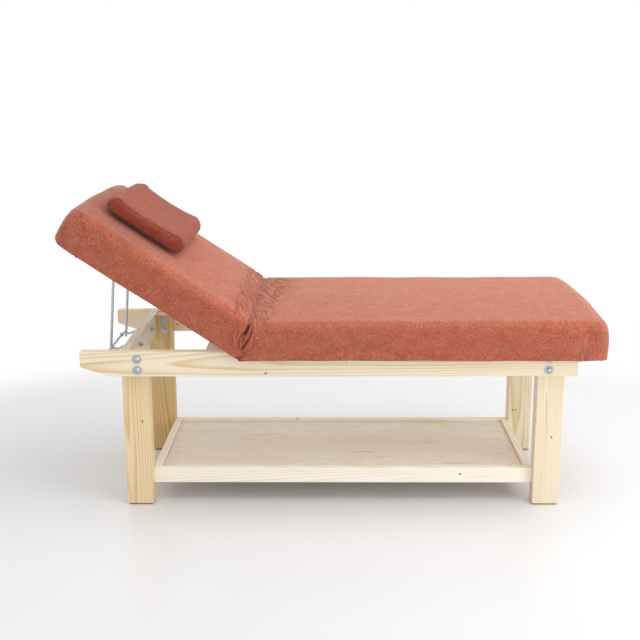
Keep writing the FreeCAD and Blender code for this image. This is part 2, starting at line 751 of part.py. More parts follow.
def make_bail():
    """One bent rod: a top bar in the brackets and two legs that stand in the rack."""
    lean = math.radians(now.bail_lean)
    top_x = now.bail_foot_x + now.bail_length * math.sin(lean)
    top_z = now.bail_foot_z + now.bail_length * math.cos(lean)
    half = now.bail_half_width
    points = [Vector(now.bail_foot_x, -half, now.bail_foot_z), Vector(top_x, -half, top_z),
              Vector(top_x, half, top_z), Vector(now.bail_foot_x, half, now.bail_foot_z)]
    keep("prop_bail", solid(wire_along(points, now.bail_wire_dia, now.bail_bend)))


def make_rack():
    """Two wavy arms bolted through the head crossbeam, with a bar across their tips."""
    face = now.head_leg_x
    wave = [(-now.beam_thickness - now.rack_thread, 0), (now.rack_shoulder_out, 0),
            (now.rack_trough_out, now.rack_trough_drop), (now.rack_crest_out, now.rack_crest_drop),
            (now.rack_tip_out, now.rack_tip_drop)]
    tip_x = face - now.rack_tip_out
    tip_z = now.rack_z - now.rack_tip_drop
    bar_half = now.rack_bar_half
    shape = Part.makeCylinder(now.rack_bar_dia / 2, 2 * bar_half, Vector(tip_x, -bar_half, tip_z), Y_AXIS)
    for side in SIDES.values():
        points = [Vector(face - out, side * now.rack_arm_spread, now.rack_z - drop) for out, drop in wave]
        shape = shape.fuse(wire_along(points, now.rack_wire_dia, now.rack_bend))
    keep("prop_rack", solid(shape))
    inside = face + now.beam_thickness
    arms = [Vector(inside, side * now.rack_arm_spread, now.rack_z) for side in SIDES.values()]
    washer = ring("rack_washer_dia", "rack_wire_dia + rack_hole_ease", "rack_washer_thickness")
    keep("rack_washers", copies(washer, [(point, X_AXIS) for point in arms]))
    hexagon = nut("rack_nut_across_corners", "rack_wire_dia + rack_hole_ease", "rack_nut_height")
    seat = X_AXIS * now.rack_washer_thickness
    keep("rack_nuts", copies(hexagon, [(point + seat, X_AXIS) for point in arms]))
    cap = cut(rod("rack_cap_dia", "rack_cap_length", "0", "0", "-rack_cap_depth"),
              [rod("rack_bar_dia", "rack_cap_depth + overrun", "0", "0", "-rack_cap_depth - overrun")])
    ends = [(Vector(tip_x, side * bar_half, tip_z), Y_AXIS * side) for side in SIDES.values()]
    keep("rack_end_caps", copies(cap, ends))


# Pillow

FOOT_TOP_SHARE = 0.12
HEAD_TOP_SHARE = 0.86
BASE_INSET_SHARE = 0.1
NOSE_SHARE = 0.48
WAIST_SHARE = 0.5


def pillow_section(y, fall, base):
    """One slice along the pillow: flat below, a round head roll, a dipped waist and a smaller foot roll."""
    length = now.pillow_length
    foot = now.hinge_x - now.pillow_reach
    lift = fall * now.pillow_end_lift
    drop = fall * now.pillow_end_drop

    def at(share, height):
        inward = fall * now.pillow_end_draw * (1 - 2 * share)
        return Vector(foot - share * length - inward, y, base + height)

    head = now.pillow_head_height - drop
    tail = now.pillow_foot_height - drop
    low = [at(BASE_INSET_SHARE, lift), at(1 - BASE_INSET_SHARE, lift)]
    head_top = at(HEAD_TOP_SHARE, head)
    tail_top = at(FOOT_TOP_SHARE, tail)
    return Part.Wire([
        Part.LineSegment(low[0], low[1]).toShape(),
        Part.Arc(low[1], at(1, lift + (head - lift) * NOSE_SHARE), head_top).toShape(),
        Part.Arc(head_top, at(WAIST_SHARE, now.pillow_waist_height - drop), tail_top).toShape(),
        Part.Arc(tail_top, at(0, lift + (tail - lift) * NOSE_SHARE), low[0]).toShape(),
    ])


def make_pillow():
    """A contoured pillow that lies loose on the back."""
    base = now.back_base + now.back_rise + now.cushion_crown + now.pillow_ease
    half = now.pillow_width / 2
    sections = []
    for side in (-1, 1):
        shares = END_SHARES if side > 0 else END_SHARES[::-1]
        for share in shares:
            fall = 1 - math.sqrt(1 - (1 - share) ** 2)
            y = side * (half - share * now.pillow_side_round)
            sections.append(pillow_section(y, fall, base))
    tilt(keep("head_pillow", solid(Part.makeLoft(sections, True, True))))


def make_couch():
    """Every piece of the couch."""
    dowels = beam_dowels()
    shelf_pins = shelf_dowels()
    screws = beam_screws()
    make_bolts()
    make_feet()
    make_frame(dowels, shelf_pins, screws)
    make_crossbeams(dowels, screws)
    make_shelf(shelf_pins)
    seat_screws = keep("seat_hinge_screws", copies(leaf_screw(), leaf_screw_spots(1, now.rail_top)))
    back_screws = copies(leaf_screw(), leaf_screw_spots(-1, now.back_base))
    bracket_screws = copies(leaf_screw(), bracket_screw_spots())
    make_leaves("seat_hinge_leaves", 1, (0, 2), "rail_top", seat_screws)
    tilt(make_leaves("back_hinge_leaves", -1, (1,), "back_base", back_screws))
    make_pins()
    make_cushion("seat", "seat_length", "rail_top", [seat_screws])
    for piece in make_cushion("back", "back_length", "back_base", [back_screws, bracket_screws]):
        tilt(piece)
    make_brackets(bracket_screws)
    tilt(keep("back_hinge_screws", together("Part::Compound", [back_screws])))
    tilt(keep("bracket_screws", together("Part::Compound", [bracket_screws])))
    make_bail()
    make_rack()
    make_pillow()


def write_pieces():
    """Check the document, then write each piece to its own file."""
    doc.recompute()
    for thing in doc.Objects:
        if "Invalid" in thing.State or "Error" in thing.State:
            raise RuntimeError(f"{thing.Label} did not build: {thing.State}")
    for label, piece in nodes.items():
        if piece.Shape.isNull() or not piece.Shape.isValid():
            raise RuntimeError(f"{label} has no valid shape")
    os.makedirs("parts", exist_ok=True)
    for label, piece in nodes.items():
        piece.Shape.exportStep(f"parts/{label}.step")
        print(f"{label}: {len(piece.Shape.Solids)} solids, {piece.Shape.Volume / 1000:.1f} cm3")


make_couch()
write_pieces()
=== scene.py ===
"""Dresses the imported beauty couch: one fitted suede cover over seat and back, a pillow, seams, timber and metal."""

import cmath
import json
import math
from itertools import accumulate
from types import SimpleNamespace

import bmesh
import bpy
from bpy.props import FloatProperty, FloatVectorProperty, PointerProperty
from mathutils import Matrix, Vector, noise


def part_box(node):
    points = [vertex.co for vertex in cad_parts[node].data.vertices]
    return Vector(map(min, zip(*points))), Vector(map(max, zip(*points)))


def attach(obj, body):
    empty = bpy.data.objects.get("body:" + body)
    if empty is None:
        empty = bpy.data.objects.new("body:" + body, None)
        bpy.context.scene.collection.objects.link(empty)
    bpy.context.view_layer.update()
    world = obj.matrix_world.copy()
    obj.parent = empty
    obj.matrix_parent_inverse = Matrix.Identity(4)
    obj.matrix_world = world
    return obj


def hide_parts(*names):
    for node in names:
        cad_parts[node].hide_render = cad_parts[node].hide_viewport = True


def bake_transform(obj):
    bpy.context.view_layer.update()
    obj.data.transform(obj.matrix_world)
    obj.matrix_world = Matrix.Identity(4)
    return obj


bl_info = {
    "name": "Beauty couch",
    "version": (1, 0, 0),
    "blender": (4, 5, 0),
    "location": "3D View > Sidebar > Couch",
    "description": "Dresses a pine beauty couch with its fitted cover, pillow, seams and finishes",
    "category": "Object",
}

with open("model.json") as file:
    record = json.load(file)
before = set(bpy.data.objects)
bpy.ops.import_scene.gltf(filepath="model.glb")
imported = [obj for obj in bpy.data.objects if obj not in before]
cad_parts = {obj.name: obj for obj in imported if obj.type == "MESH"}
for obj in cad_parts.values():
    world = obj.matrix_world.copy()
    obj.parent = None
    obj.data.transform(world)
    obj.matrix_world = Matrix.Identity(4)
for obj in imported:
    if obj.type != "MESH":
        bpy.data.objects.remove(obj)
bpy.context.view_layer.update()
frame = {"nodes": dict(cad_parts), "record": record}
MM = 0.001


def linear(code):
    """A hex colour as the linear red, green and blue that a shader takes."""
    values = [int(code[start:start + 2], 16) / 255 for start in (0, 2, 4)]
    return [v / 12.92 if v <= 0.04045 else ((v + 0.055) / 1.055) ** 2.4 for v in values]


def length_prop(name, description, millimetres):
    """A size that a user may change."""
    return FloatProperty(name=name, description=description, default=millimetres * MM, unit="LENGTH", precision=4)


def angle_prop(name, description, degrees):
    """An angle that a user may change."""
    return FloatProperty(name=name, description=description, default=math.radians(degrees), subtype="ANGLE")


def colour_prop(name, description, code):
    """A colour that a user may change, given as sRGB hex."""
    return FloatVectorProperty(name=name, description=description, default=linear(code), subtype="COLOR", min=0, max=1)


TILT_FACTS = next(joint for joint in frame["record"]["behaviour"]["joints"] if joint["name"] == "back_tilt")
HINGE = Vector(TILT_FACTS["pos_m"])
TILT = math.radians(-TILT_FACTS["range_deg"][0])
BACK_TURN = Matrix.Translation(HINGE) @ Matrix.Rotation(TILT, 4, "Y") @ Matrix.Translation(-HINGE)


def flat_corners(node, turn):
    """The lowest and highest corners of a CAD node after a turn, such as the back laid flat."""
    points = [turn @ vertex.co for vertex in frame["nodes"][node].data.vertices]
    return [Vector(pick(point[axis] for point in points) for axis in range(3)) for pick in (min, max)]


LAID_FLAT = BACK_TURN.inverted()
PILLOW_LOW, PILLOW_HIGH = flat_corners("head_pillow", LAID_FLAT)


def cushion_half(direction, cover, board, turn):
    """What the CAD says of one half of the cushion, laid flat: its length, hem, top and board."""
    low, high = flat_corners(cover, turn)
    board_high = flat_corners(board, turn)[1]
    length = high.x - HINGE.x if direction > 0 else HINGE.x - low.x
    return SimpleNamespace(direction=direction, length=length, hem=low.z, top=high.z, half=high.y,
                           board_top=board_high.z, board_half=board_high.y)


SEAT = cushion_half(1, "seat_cover", "seat_board", Matrix.Identity(4))
BACK = cushion_half(-1, "back_cover", "back_board", LAID_FLAT)


class CoverSizes(bpy.types.PropertyGroup):
    """Sizes and colours of the fitted suede cover."""
    pile: length_prop("Pile", "How far the cloth stands proud of the CAD's top", 3.5)
    near_sag: length_prop("Near sag", "How far the near edge has been sat down", 11)
    crown: length_prop("Crown", "How far the top rises to its middle", 8)
    shoulder: length_prop("Shoulder", "Radius where the top turns into the sides", 30)
    hem_tuck: length_prop("Hem tuck", "How far the hem draws in under the side", 10)
    end_round: length_prop("End rounding", "Length over which an end rounds off", 55)
    head_drop: length_prop("Head drop", "How far the top falls at the head end", 24)
    foot_drop: length_prop("Foot drop", "How far the top falls at the foot end", 34)
    end_draw: length_prop("End draw", "How far each side draws in at an end", 42)
    end_bulge: length_prop("End bulge", "How far the end faces swell", 6)
    side_draw: length_prop("Side draw", "How far the sides draw in at mid-length", 6)
    head_rise: length_prop("Head hem rise", "How far the hem rises at the head end", 20)
    foot_rise: length_prop("Foot hem rise", "How far the hem rises at the foot end", -5)
    crease_depth: length_prop("Crease depth", "Depth of the fold between seat and back", 13)
    crease_width: length_prop("Crease width", "Half width of that fold", 12)
    wrinkle: length_prop("Wrinkle depth", "Depth of the bunched wrinkles on top of the crease", 2.6)
    fold: length_prop("Side fold depth", "Depth of the long folds beside the crease", 4.5)
    slack: length_prop("Slack", "Height of the broad unevenness of the cover", 1.6)
    hem_wave: length_prop("Hem wave", "How far the hem wanders up and down", 2.5)
    seam_depth: length_prop("Seam depth", "Depth of a sewn seam", 2)
    # Painted shade: the colour painted into crease, slit, wrinkles, fold valleys, seams and the back's top at the head
    painted_shade_colour: colour_prop("Fold shade", "Inside the folds", "642820")
    # The thread's own colour, painted paler still as a highlight along the seams
    thread: colour_prop("Thread", "Sewing thread", "DCA692")


class PillowSizes(bpy.types.PropertyGroup):
    """Sizes of the loose contoured pillow."""
    waist: length_prop("Waist height", "Height at the dip between the two rolls", 57)
    foot: length_prop("Foot roll height", "Height of the smaller roll", 65)
    settle: length_prop("Settle", "How far the head roll has been pressed down", 8)
    side_round: length_prop("Side rounding", "Width over which each side rounds off", 34)
    side_draw: length_prop("Side draw", "How far the outline draws in at the side panels", 15)
    side_drop: length_prop("Side drop", "How far the top falls to the side panels", 3)
    side_lift: length_prop("Side lift", "How far the underside rises to the side panels", 17)
    bulge: length_prop("Panel bulge", "How far the side panels swell", 6)
    welt: length_prop("Welt", "Height of the sewn edge round a side panel", 2.2)


def suede_props(nap, brushed, turned, sheen):
    """The colours and the sheen of a suede."""
    return {"nap": colour_prop("Nap", "Main colour of the suede", nap),
            "nap_light": colour_prop("Brushed nap", "Where the nap is brushed towards the light", brushed),
            "nap_dark": colour_prop("Turned nap", "Where the nap is turned away", turned),
            "sheen": FloatProperty(name="Sheen", description="Strength of the pile's soft sheen", default=sheen,
                                   subtype="FACTOR", min=0, max=1)}


CoverSizes.__annotations__.update(suede_props("AE5D47", "C9826B", "8A4233", 0.48))
# The pillow's suede is the cover's cloth painted darker, as painted shade, with a weaker sheen
PillowSizes.__annotations__.update(suede_props("934536", "AA604D", "763226", 0.22))


# Pale wood between the growth rings and darker wood of the rings, for each kind of plank. The tones differ partly as
# the planks' own wood does and partly as painted light and shade: the legs are painted paler at the foot, where more
# light falls, and the far head leg darker, as shade; the shelf rails are painted paler, as light from low in front,
# and the crossbeams greyer, as shade
PLANKS = {"rail": ("F6EBD3", "DDBB80"), "foot_leg": ("F0E4C9", "DBBE8E"), "near_head_leg": ("F0DBB2", "D3AA6E"),
          "far_head_leg": ("E0C18C", "BF904F"), "shelf": ("FEF9EC", "F0DEBC"), "crossbeam": ("E6DECF", "CDBB9C")}


class TimberLook(bpy.types.PropertyGroup):
    """Colours and grain of the timber."""
    ring: length_prop("Ring width", "Distance between growth rings", 7)
    knot: colour_prop("Knot", "Small knots", "8A5630")
    # The veneer's own pale tone and its bands, painted paler still as light on the shelf under the seat
    veneer: colour_prop("Veneer", "Face veneer of the plywood", "F8EEDF")
    veneer_line: colour_prop("Veneer band", "Darker bands of the veneer", "F1E3CE")
    veneer_mark: colour_prop("Veneer mark", "Pores and thin lines of the veneer", "B5926A")


for plank, tones in PLANKS.items():
    for wood, tone in zip(("early", "late"), tones):
        label = f"{plank} {wood}wood".replace("_", " ").capitalize()
        TimberLook.__annotations__[f"{plank}_{wood}"] = colour_prop(label, "Tone of this wood", tone)


class HardwareLook(bpy.types.PropertyGroup):
    """Colours of the metal and plastic fittings."""
    zinc: colour_prop("Zinc", "Bright zinc plating", "B9BDC4")
    plastic: colour_prop("Plastic", "Moulded end caps", "161616")
    rubber: colour_prop("Rubber", "Foot pads", "2A2725")


class StageSetup(bpy.types.PropertyGroup):
    """Floor, light and camera."""
    floor: colour_prop("Floor", "Pale floor", "E6E6E8")
    floor_radius: length_prop("Floor radius", "How far the floor goes", 7000)
    lens: FloatProperty(name="Lens", description="Focal length in millimetres", default=58.4, unit="CAMERA")
    pitch: angle_prop("Pitch", "How far the camera looks down", 13.32)
    yaw: angle_prop("Yaw", "How far the camera turns left", 0.71)
    roll: angle_prop("Roll", "How far the camera leans", -0.23)
    eye: FloatVectorProperty(name="Eye", description="Where the camera stands", subtype="TRANSLATION",
                             default=(-0.0057, -3.595, 1.4285))


# Meshes

def put(name, data):
    """A new object in the scene, for a mesh, a lamp or a camera."""
    thing = bpy.data.objects.new(name, data)
    bpy.context.scene.collection.objects.link(thing)
    return thing


def piece_from(name, points, faces, material):
    """A new object at the origin from points and faces, smooth-shaded, with its faces pointing outwards."""
    mesh = bpy.data.meshes.new(name)
    mesh.from_pydata(points, [], faces)
    solid = bmesh.new()
    solid.from_mesh(mesh)
    bmesh.ops.recalc_face_normals(solid, faces=solid.faces)
    solid.to_mesh(mesh)
    solid.free()
    mesh.polygons.foreach_set("use_smooth", [True] * len(mesh.polygons))
    mesh.materials.append(material)
    return put(name, mesh)


def lofted_faces(rings, around):
    """Quads between neighbouring closed rings, and one face over each end."""
    faces = []
    for here in range(0, (rings - 1) * around, around):
        for step in range(around):
            after = (step + 1) % around
            faces.append((here + step, here + after, here + around + after, here + around + step))
    return faces + [tuple(range(around)), tuple(range((rings - 1) * around, rings * around))]


def smooth(share):
    """An eased step from 0 to 1."""
    share = min(max(share, 0.0), 1.0)
    return share * share * (3 - 2 * share)


def bell(away, width):
    """1 on a line, falling to 0 beside it."""
    return math.exp(-(away / width) ** 2)


def drawn_in(outline, middle, share):
    """A closed outline drawn in by a share towards a line along its middle height."""
    along, up = zip(*outline)
    thick = (max(up) - min(up)) / 2
    low, high = min(along) + thick, max(along) - thick
    return [(x + (min(max(x, low), high) - x) * share, z + (middle - z) * share) for x, z in outline]


def path_distance(x, z, path):
    """Signed distance from a point to a path in the side view, and how far along the path it is."""
    best = (math.inf, 0.0)
    for number, ((ax, az), (bx, bz)) in enumerate(zip(path, path[1:])):
        run, rise = bx - ax, bz - az
        share = ((x - ax) * run + (z - az) * rise) / (run * run + rise * rise)
        share = min(max(share, 0.0), 1.0)
        away = math.hypot(x - ax - share * run, z - az - share * rise)
        side = 1 if run * (z - az) - rise * (x - ax) < 0 else -1
        if away < abs(best[0]):
            best = (side * away, (number + share) / (len(path) - 1))
    return best


# Fitted cover

FLOOR_STEPS, SKIRT_STEPS, SIDE_STEPS, SHOULDER_STEPS, TOP_STEPS = 4, 3, 22, 10, 76
OUTER_START = FLOOR_STEPS + SKIRT_STEPS
AROUND = 2 * (OUTER_START + 1 + SIDE_STEPS + SHOULDER_STEPS + TOP_STEPS)
END_STEPS = 20
# How far the slices that close an end are drawn in to its middle
END_ROWS = (0.22, 0.45, 0.68)
FINE_STEP, SEAM_STEP, COARSE_STEP = 1.8 * MM, 2.6 * MM, 12 * MM
CREASE_BAND, SEAM_BAND = 140 * MM, 96 * MM
LIP = 2.5 * MM
# Width of the hem's underside, and how high the cloth turns in past the end of the board
HEM_ROOM, END_FLOOR = 2 * LIP, 1.3 * LIP
BOARD_EASE, BOARD_CORNER, BOARD_INSET = 0.6 * MM, 62 * MM, 34 * MM
LEAN_REACH, BLEND_REACH = 160 * MM, 60 * MM
HEM_ANGLE = math.radians(70)
# How the sides curve in to the hem, and how much flatter the crown and rounder the shoulder is at an end
HEM_CURVE, CROWN_LOSS, SHOULDER_GAIN = 2.2, 0.7, 0.8
# Where a side has turned into the top, in shares of the way from the hem to the top's middle
TOP_START, TOP_RUN = 0.2, 0.12
# Rates are patterns of noise in a metre
SLACK_RATE, SLACK_RISE = 7.0, 8
HEM_RATE, HEM_RATE_ACROSS, HEM_BAND = 9, 5, 45 * MM
# The crease is shallower on top, deepens above the hem and is uneven
CREASE_TOP_LOSS, CREASE_RISE, CREASE_UNEVEN, CREASE_RATE = 0.88, 26 * MM, 0.4, 16
SLIT_DEPTH, SLIT_WIDTH, SLIT_HEIGHT, SLIT_FADE = 12 * MM, 4.5 * MM, 22 * MM, 14 * MM
# An end panel's seam: its place at the hem, how it leans out and how it turns over the shoulder
SEAM_INSET = 88 * MM
SEAM_LEAN, SEAM_LEAN_RUN = 14 * MM, 0.24
SEAM_TURN, SEAM_TURN_START, SEAM_TURN_RUN = 62 * MM, 0.17, 0.17
SEAM_WIDTH = 2.4 * MM
RIDGE, RIDGE_INSET, RIDGE_WIDTH = 1.8 * MM, 6 * MM, 4 * MM
# Folds that rise from the slit: how strong each is, and its run in millimetres along the couch from the crease and
# up the side from the hem
SIDE_FOLDS = (
    (0.4, ((-12, 32), (-28, 75), (-42, 122))),
    (1.0, ((-7, 30), (-13, 46), (-17, 78), (-3, 104), (5, 128), (9, 168), (9, 240))),
    (1.0, ((0, 32), (6, 50), (13, 71), (19, 98), (15, 130), (13, 176))),
    (0.6, ((5, 22), (22, 38), (34, 56), (35, 78), (30, 98), (21, 128))),
    (0.6, ((-4, 58), (-6, 86), (3, 112), (-1, 150), (-3, 205))),
    (0.35, ((-16, 20), (-24, 60), (-30, 105))),
    (0.25, ((-34, 24), (-44, 66), (-50, 108))),
    (0.45, ((8, 12), (30, 34), (46, 62), (52, 88))),
)
# How far folds go, and their half width at the ends and what the middle adds to it, also in millimetres
FOLD_REACH, FOLD_TOP, FOLD_WIDTH, FOLD_SWELL = 80, 270, 2.6, 1.6
# How soon a fold starts and fades out, and the height, place and width of the rims beside it
FOLD_START, FOLD_LEAD, FOLD_FADE = 6, 0.2, 4
RIM_SHARE, RIM_PLACE, RIM_WIDTH = 0.55, 1.9, 1.1
# Wrinkles beside the crease: how far apart, how long, how slanted, how much they bend and where they end
WRINKLE_PITCH, WRINKLE_RUN, WRINKLE_SLANT, WRINKLE_BEND, WRINKLE_END = 6.6 * MM, 75 * MM, 0.36, 8 * MM, 230 * MM
BEND_RATE, BEND_RATE_ACROSS = 12, 10
# How far they reach over seat and back at the near edge, and how much further at the far side
WRINKLE_REACH = {1: (120 * MM, 105 * MM), -1: (155 * MM, -20 * MM)}
NEAR_EDGE, NEAR_TO_FAR, WRINKLE_FADE = -0.37, 0.6, 1.6
# How narrow the wrinkles are in the noise they come from, and the patches that break them
LINE_WIDTH, STRAND_WIDTH = 0.18, 0.16
PATCH_PITCH, PATCH_RUN, PATCH_EDGE, PATCH_FILL, PATCH_CORE = 0.4, 0.45, 0.5, 0.85, 0.3
# Finer strands at the crease itself, which slant the other way
CORE_WIDTH, STRAND_SLANT, STRAND_RUN = 28 * MM, 0.2, 0.8
LINE_POWER, STRAND_POWER = 1.2, 0.45
# Painted shade: how dark crease, wrinkles and fold valleys are painted, how deep the slit is where it is painted
# darkest, and how dark the seams of the foot and head ends are painted below the shoulder
CREASE_SHADE, WRINKLE_SHADE, FOLD_SHADE, SLIT_SHADE = 0.45, 0.5, 0.8, 4 * MM
SEAM_SHADE, SEAM_SHADE_END, SEAM_SHADE_RUN = {1: 0.12, -1: 0.4}, 0.27, 0.06
# Painted shade on top of the back, growing towards the head: how dark, where it starts and how long it grows
HEAD_SHADE, HEAD_SHADE_START, HEAD_SHADE_RUN = 0.3, 320 * MM, 220 * MM


def half_section(cover, half, low, high, crown, shoulder, floor_z, floor_half):
    """One side of a slice across the cover, from under its middle round the hem and shoulder to the top."""
    points = [(floor_half * step / FLOOR_STEPS, floor_z) for step in range(FLOOR_STEPS)]
    lip_z = low + LIP
    points += [(floor_half, floor_z + (lip_z - floor_z) * step / SKIRT_STEPS) for step in range(SKIRT_STEPS)]
    points.append(((floor_half + half - cover.hem_tuck) / 2, low))
    side_top = high - shoulder
    for step in range(SIDE_STEPS):
        share = step / SIDE_STEPS
        points.append((half - cover.hem_tuck * (1 - share) ** HEM_CURVE, lip_z + (side_top - lip_z) * share))
    for step in range(SHOULDER_STEPS):
        angle = math.pi / 2 * step / SHOULDER_STEPS
        points.append((half - shoulder + shoulder * math.cos(angle), side_top + shoulder * math.sin(angle)))
    inner = half - shoulder
    for step in range(TOP_STEPS + 1):
        y = inner * (1 - step / TOP_STEPS)
        points.append((y, high + crown * (1 - (y / inner) ** 2)))
    return points


def stations(length, end_round):
    """Distances from the hinge at which the cover is sliced: close together at the crease and at the end."""
    places, place = [], 0.0
    while place < length - end_round:
        places.append(place)
        to_seam = length - SEAM_BAND - place
        place += min(FINE_STEP + COARSE_STEP * smooth((place - CREASE_BAND) / CREASE_BAND),
                     SEAM_STEP + COARSE_STEP * smooth(to_seam / CREASE_BAND))
    places += [length - end_round * (1 - math.sin(math.pi / 2 * step / END_STEPS)) for step in range(END_STEPS + 1)]
    return places


def cover_ring(cover, half, distance):
    """The closed slice of a cushion at a distance from the hinge, as (across, up) points, with the cushion flat."""
    from_end = max(0.0, (half.length - distance) / cover.end_round)
    fall = 1 - math.sqrt(max(0.0, 1 - (1 - from_end) ** 2)) if from_end < 1 else 0.0
    draw = cover.side_draw * math.sin(math.pi * min(distance / (half.length - cover.end_round), 1.0))
    width = half.half - draw - fall * cover.end_draw
    drop, rise = (cover.foot_drop, cover.foot_rise) if half is SEAT else (cover.head_drop, cover.head_rise)
    high = half.top + cover.pile - cover.crown - fall * drop
    low = half.hem + fall * rise
    board_end = half.length - BOARD_INSET + BOARD_EASE
    floor_z, floor_half = half.board_top, half.board_half + BOARD_EASE
    into_corner = distance - (board_end - BOARD_CORNER)
    if into_corner > 0:
        floor_half -= BOARD_CORNER - math.sqrt(max(0.0, BOARD_CORNER ** 2 - min(into_corner, BOARD_CORNER) ** 2))
    room = width - cover.hem_tuck - HEM_ROOM
    floor_half = min(floor_half, room)
    if distance > board_end:
        floor_z, floor_half = low + END_FLOOR, room
    right = half_section(cover, width, low, high, cover.crown * (1 - CROWN_LOSS * fall),
                         cover.shoulder * (1 + SHOULDER_GAIN * fall), floor_z, floor_half)
    left = [(-y, z - cover.near_sag * smooth(y / width) * smooth((z - low) / (high - low)))
            for y, z in right[-2:0:-1]]
    return right + left


def placed(direction, distance, y, z):
    """A point of a flat cushion in its rest place, leaning to meet the other cushion at the crease."""
    lean = math.tan(TILT / 2) * (1 - smooth(distance / LEAN_REACH))
    point = Vector((HINGE.x + direction * (distance + lean * (z - HINGE.z)), y, z))
    return point if direction > 0 else BACK_TURN @ point


def end_rings(ring, half, bulge):
    """Slices that close an end: the outline drawn in to its middle line and swollen a little."""
    heights = [z for y, z in ring]
    middle = (min(heights) + max(heights)) / 2
    return [[placed(half.direction, half.length + bulge * (1 - (1 - row) ** 2), y, z)
             for y, z in drawn_in(ring, middle, row)] for row in END_ROWS]


def seam_distance(length, share):
    """How far from the hinge the end panel's seam runs, for a share of the way from the hem to the top's middle."""
    inset = SEAM_INSET - SEAM_LEAN * smooth(share / SEAM_LEAN_RUN)
    return length - inset + SEAM_TURN * smooth((share - SEAM_TURN_START) / SEAM_TURN_RUN)


def girths_of(cover):
    """How far each point of a slice is from the hem, measured round the side, shoulder and top."""
    ring = cover_ring(cover, SEAT, SEAT.length / 2)
    side = ring[OUTER_START:len(ring) // 2 + 1]
    return list(accumulate((math.dist(here, there) for here, there in zip(side, side[1:])), initial=0.0))


def up_the_side(step):
    """How many points above the hem a point of a slice lies, and its share of the way to the top's middle."""
    from_hem = min(step, AROUND - step) - OUTER_START
    return from_hem, from_hem / (AROUND // 2 - OUTER_START)


def wrinkles_at(along, y, on_top):
    """How deep a point lies in the bunched wrinkles beside the crease, from 0 to 1: thin broken valleys that run
    across the couch, slanting and fading out from the crease."""
    if on_top == 0 or abs(along) > WRINKLE_END:
        return 0.0
    reach, gain = WRINKLE_REACH[1 if along > 0 else -1]
    reach += gain * smooth((y - NEAR_EDGE) / NEAR_TO_FAR)
    fade = smooth(WRINKLE_FADE * (1 - abs(along) / reach))
    core = bell(along, CORE_WIDTH)
    # The third number of each point of noise, and the 4 of the strands, only pick a pattern
    bend = WRINKLE_BEND * noise.noise(Vector((along * BEND_RATE, y * BEND_RATE_ACROSS, 3.7)))
    across = (along + WRINKLE_SLANT * y + bend) / WRINKLE_PITCH
    lines = bell(noise.noise(Vector((across, y / WRINKLE_RUN, 1.3))), LINE_WIDTH)
    patches = noise.noise(Vector((across * PATCH_PITCH, y / (PATCH_RUN * WRINKLE_RUN), 5.5)))
    broken = smooth(patches / PATCH_EDGE + PATCH_FILL + PATCH_CORE * core)
    strand = (along - STRAND_SLANT * y) / WRINKLE_PITCH
    strands = bell(noise.noise(Vector((strand + 4, y / (STRAND_RUN * WRINKLE_RUN), 8.1))), STRAND_WIDTH)
    return on_top * min(1.0, LINE_POWER * lines * broken * fade + STRAND_POWER * strands * core)


def folds_at(cover, along, girth):
    """The long folds that fan out from the slit over both sides."""
    x, up = along / MM, girth / MM
    if abs(x) > FOLD_REACH or up > FOLD_TOP:
        return 0.0
    height = 0.0
    for power, path in SIDE_FOLDS:
        away, share = path_distance(x, up, path)
        width = FOLD_WIDTH + FOLD_SWELL * math.sin(math.pi * share)
        strength = power * cover.fold * smooth(FOLD_START * share + FOLD_LEAD) * smooth(FOLD_FADE * (1 - share))
        rims = RIM_SHARE * bell(abs(away) - RIM_PLACE * width, RIM_WIDTH * width)
        height += strength * (rims - bell(away, width))
    return height


def sculpt(cover, piece, rows):
    """Moves points along their normals into the crease, folds, wrinkles and seams; returns the painted shade of each.
    """
    mesh = piece.data
    normals = [vertex.normal.copy() for vertex in mesh.vertices]
    girths = girths_of(cover)
    shade_paints = []
    for vertex, normal in zip(mesh.vertices, normals):
        row, step = divmod(vertex.index, AROUND)
        half, distance = rows[row][:2]
        from_hem, share = up_the_side(step)
        if from_hem < 0:
            shade_paints.append(0.0)
            continue
        girth = girths[from_hem]
        place = vertex.co.copy()
        along = half.direction * distance
        on_top = smooth((share - TOP_START) / TOP_RUN)
        slack = cover.slack * noise.noise(place * SLACK_RATE) * smooth(share * SLACK_RISE)
        uneven = 1 + CREASE_UNEVEN * noise.noise(place * CREASE_RATE)
        depth = cover.crease_depth * (1 - CREASE_TOP_LOSS * on_top) * smooth(girth / CREASE_RISE) * uneven
        crease = depth * bell(distance, cover.crease_width)
        slit = SLIT_DEPTH * bell(distance, SLIT_WIDTH) * (1 - smooth((girth - SLIT_HEIGHT) / SLIT_FADE))
        folds = folds_at(cover, along, girth)
        wrinkles = wrinkles_at(along, place.y, on_top)
        off_seam = distance - seam_distance(half.length, share)
        seam = bell(off_seam, SEAM_WIDTH)
        ridge = RIDGE * bell(off_seam + RIDGE_INSET, RIDGE_WIDTH)
        valleys = cover.wrinkle * wrinkles + crease + cover.seam_depth * seam
        vertex.co = place + normal * (slack + folds + ridge - valleys)
        vertex.co.y -= math.copysign(slit, place.y)
        wave = noise.noise(Vector((place.x * HEM_RATE, place.y * HEM_RATE_ACROSS, 2.2)))
        vertex.co.z += cover.hem_wave * wave * (1 - smooth(girth / HEM_BAND))
        # Painted shade, from 0 to 1: darker in the crease, the slit, wrinkles, fold valleys and seams
        shade_paint = CREASE_SHADE * crease / cover.crease_depth + slit / SLIT_SHADE
        shade_paint += WRINKLE_SHADE * wrinkles - FOLD_SHADE * folds / cover.fold
        shade_paint += SEAM_SHADE[half.direction] * (1 - smooth((share - SEAM_SHADE_END) / SEAM_SHADE_RUN)) * seam
        # Painted shade on top of the back towards the head
        if half is BACK:
            shade_paint += HEAD_SHADE * on_top * smooth((distance - HEAD_SHADE_START) / HEAD_SHADE_RUN)
        shade_paints.append(min(max(shade_paint, 0.0), 1.0))
    mesh.update()
    return shade_paints


